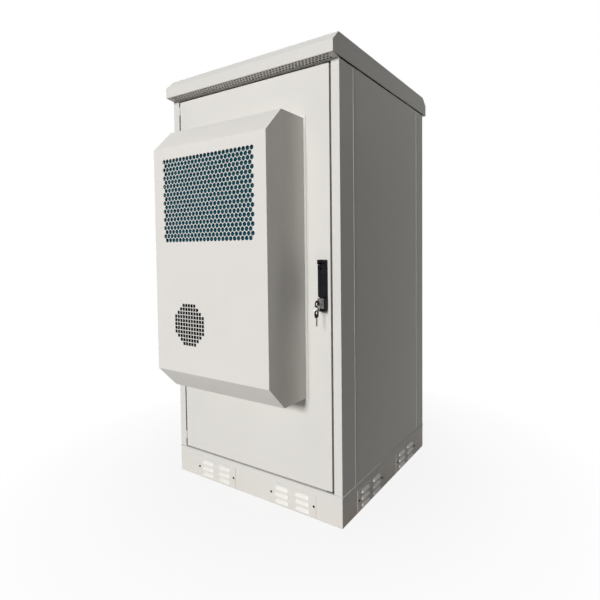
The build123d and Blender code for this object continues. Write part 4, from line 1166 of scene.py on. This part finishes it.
class CABINET_OT_stage(bpy.types.Operator):
    """Set up the floor, the lamps and the camera"""
    bl_idname = "cabinet.stage"
    bl_label = "Studio"

    def execute(self, context):
        scene, stage = context.scene, context.scene.cabinet_stage
        scene.view_settings.view_transform = "Standard"
        camera = in_scene("camera", bpy.data.cameras.new("camera"))
        camera.data.sensor_width, camera.data.lens = SENSOR_WIDTH, stage.camera_lens
        camera.data.shift_x, camera.data.shift_y = stage.camera_shift
        camera.data.clip_start, camera.data.clip_end = CLIP_RANGE
        camera.matrix_world = Matrix.Translation(stage.camera_place) @ camera_turn(stage)
        scene.camera = camera
        self.floor(stage)
        self.room(scene, stage)
        add_lamp("key_lamp", stage.key_power, **KEY_LAMP)
        add_lamp("side_lamp", stage.side_power, **SIDE_LAMP)
        return {"FINISHED"}

    def floor(self, stage):
        build = bmesh.new()
        bmesh.ops.create_grid(build, x_segments=1, y_segments=1, size=FLOOR_REACH)
        floor = in_scene("floor", finished(build, "floor", outward=False))
        floor.location.z = -FLOOR_DROP
        made, tree, shader = new_material("studio_floor")
        shader.inputs["Base Color"].default_value = stage.floor_colour
        shader.inputs["Roughness"].default_value = FLOOR_ROUGHNESS
        bright = node(tree, "ShaderNodeEmission", {"Color": WHITE, "Strength": 1.0})
        away = node(tree, "ShaderNodeVectorMath", {0: surface_place(tree)}, operation="LENGTH")
        fade = node(tree, "ShaderNodeMapRange", {"Value": away.outputs["Value"], **FLOOR_FADE})
        share = math_node(tree, "MULTIPLY", shown_rays(tree), fade.outputs["Result"])
        mixed = node(tree, "ShaderNodeMixShader", {0: share, 1: shader.outputs[0], 2: bright.outputs[0]})
        tree.links.new(mixed.outputs[0], tree.nodes["Material Output"].inputs["Surface"])
        floor.data.materials.append(made)

    def room(self, scene, stage):
        world = bpy.data.worlds.new("studio_room")
        world.use_nodes = True
        scene.world = world
        tree = world.node_tree
        soft = node(tree, "ShaderNodeBackground", {"Color": WHITE, "Strength": stage.ambient})
        white = node(tree, "ShaderNodeBackground", {"Color": WHITE, "Strength": 1.0})
        shown = shown_rays(tree)
        mixed = node(tree, "ShaderNodeMixShader", {0: shown, 1: soft.outputs[0], 2: white.outputs[0]})
        tree.links.new(mixed.outputs[0], tree.nodes["World Output"].inputs["Surface"])


class CABINET_PT_pieces(bpy.types.Panel):
    """Lists the cabinet's pieces and their settings"""
    bl_idname = "CABINET_PT_pieces"
    bl_label = "Equipment cabinet"
    bl_space_type = "VIEW_3D"
    bl_region_type = "UI"
    bl_category = "Cabinet"

    def draw(self, context):
        scene = context.scene
        for settings in (scene.cabinet_paint, scene.cabinet_vents, scene.cabinet_stage):
            box = self.layout.box()
            for name in settings.__annotations__:
                box.prop(settings, name)
        for operator in OPERATORS:
            self.layout.operator(operator.bl_idname)


SETTINGS = {"cabinet_paint": CabinetPaint, "cabinet_vents": CabinetVents, "cabinet_stage": CabinetStage}
OPERATORS = (CABINET_OT_solids, CABINET_OT_cover, CABINET_OT_coils, CABINET_OT_soffits, CABINET_OT_seams,
             CABINET_OT_vent_plates, CABINET_OT_screws, CABINET_OT_keys, CABINET_OT_lever_pin,
             CABINET_OT_rack_rails, CABINET_OT_stage)


def register():
    for settings in SETTINGS.values():
        bpy.utils.register_class(settings)
    for operator in OPERATORS:
        bpy.utils.register_class(operator)
    bpy.utils.register_class(CABINET_PT_pieces)
    for name, settings in SETTINGS.items():
        setattr(bpy.types.Scene, name, PointerProperty(type=settings))


def unregister():
    for name in SETTINGS:
        delattr(bpy.types.Scene, name)
    bpy.utils.unregister_class(CABINET_PT_pieces)
    for made in (*OPERATORS, *SETTINGS.values()):
        bpy.utils.unregister_class(made)


def main():
    """Build every piece and the studio."""
    register()
    for operator in OPERATORS:
        area, name = operator.bl_idname.split(".")
        getattr(getattr(bpy.ops, area), name)()


if __name__ == "__main__":
    main()
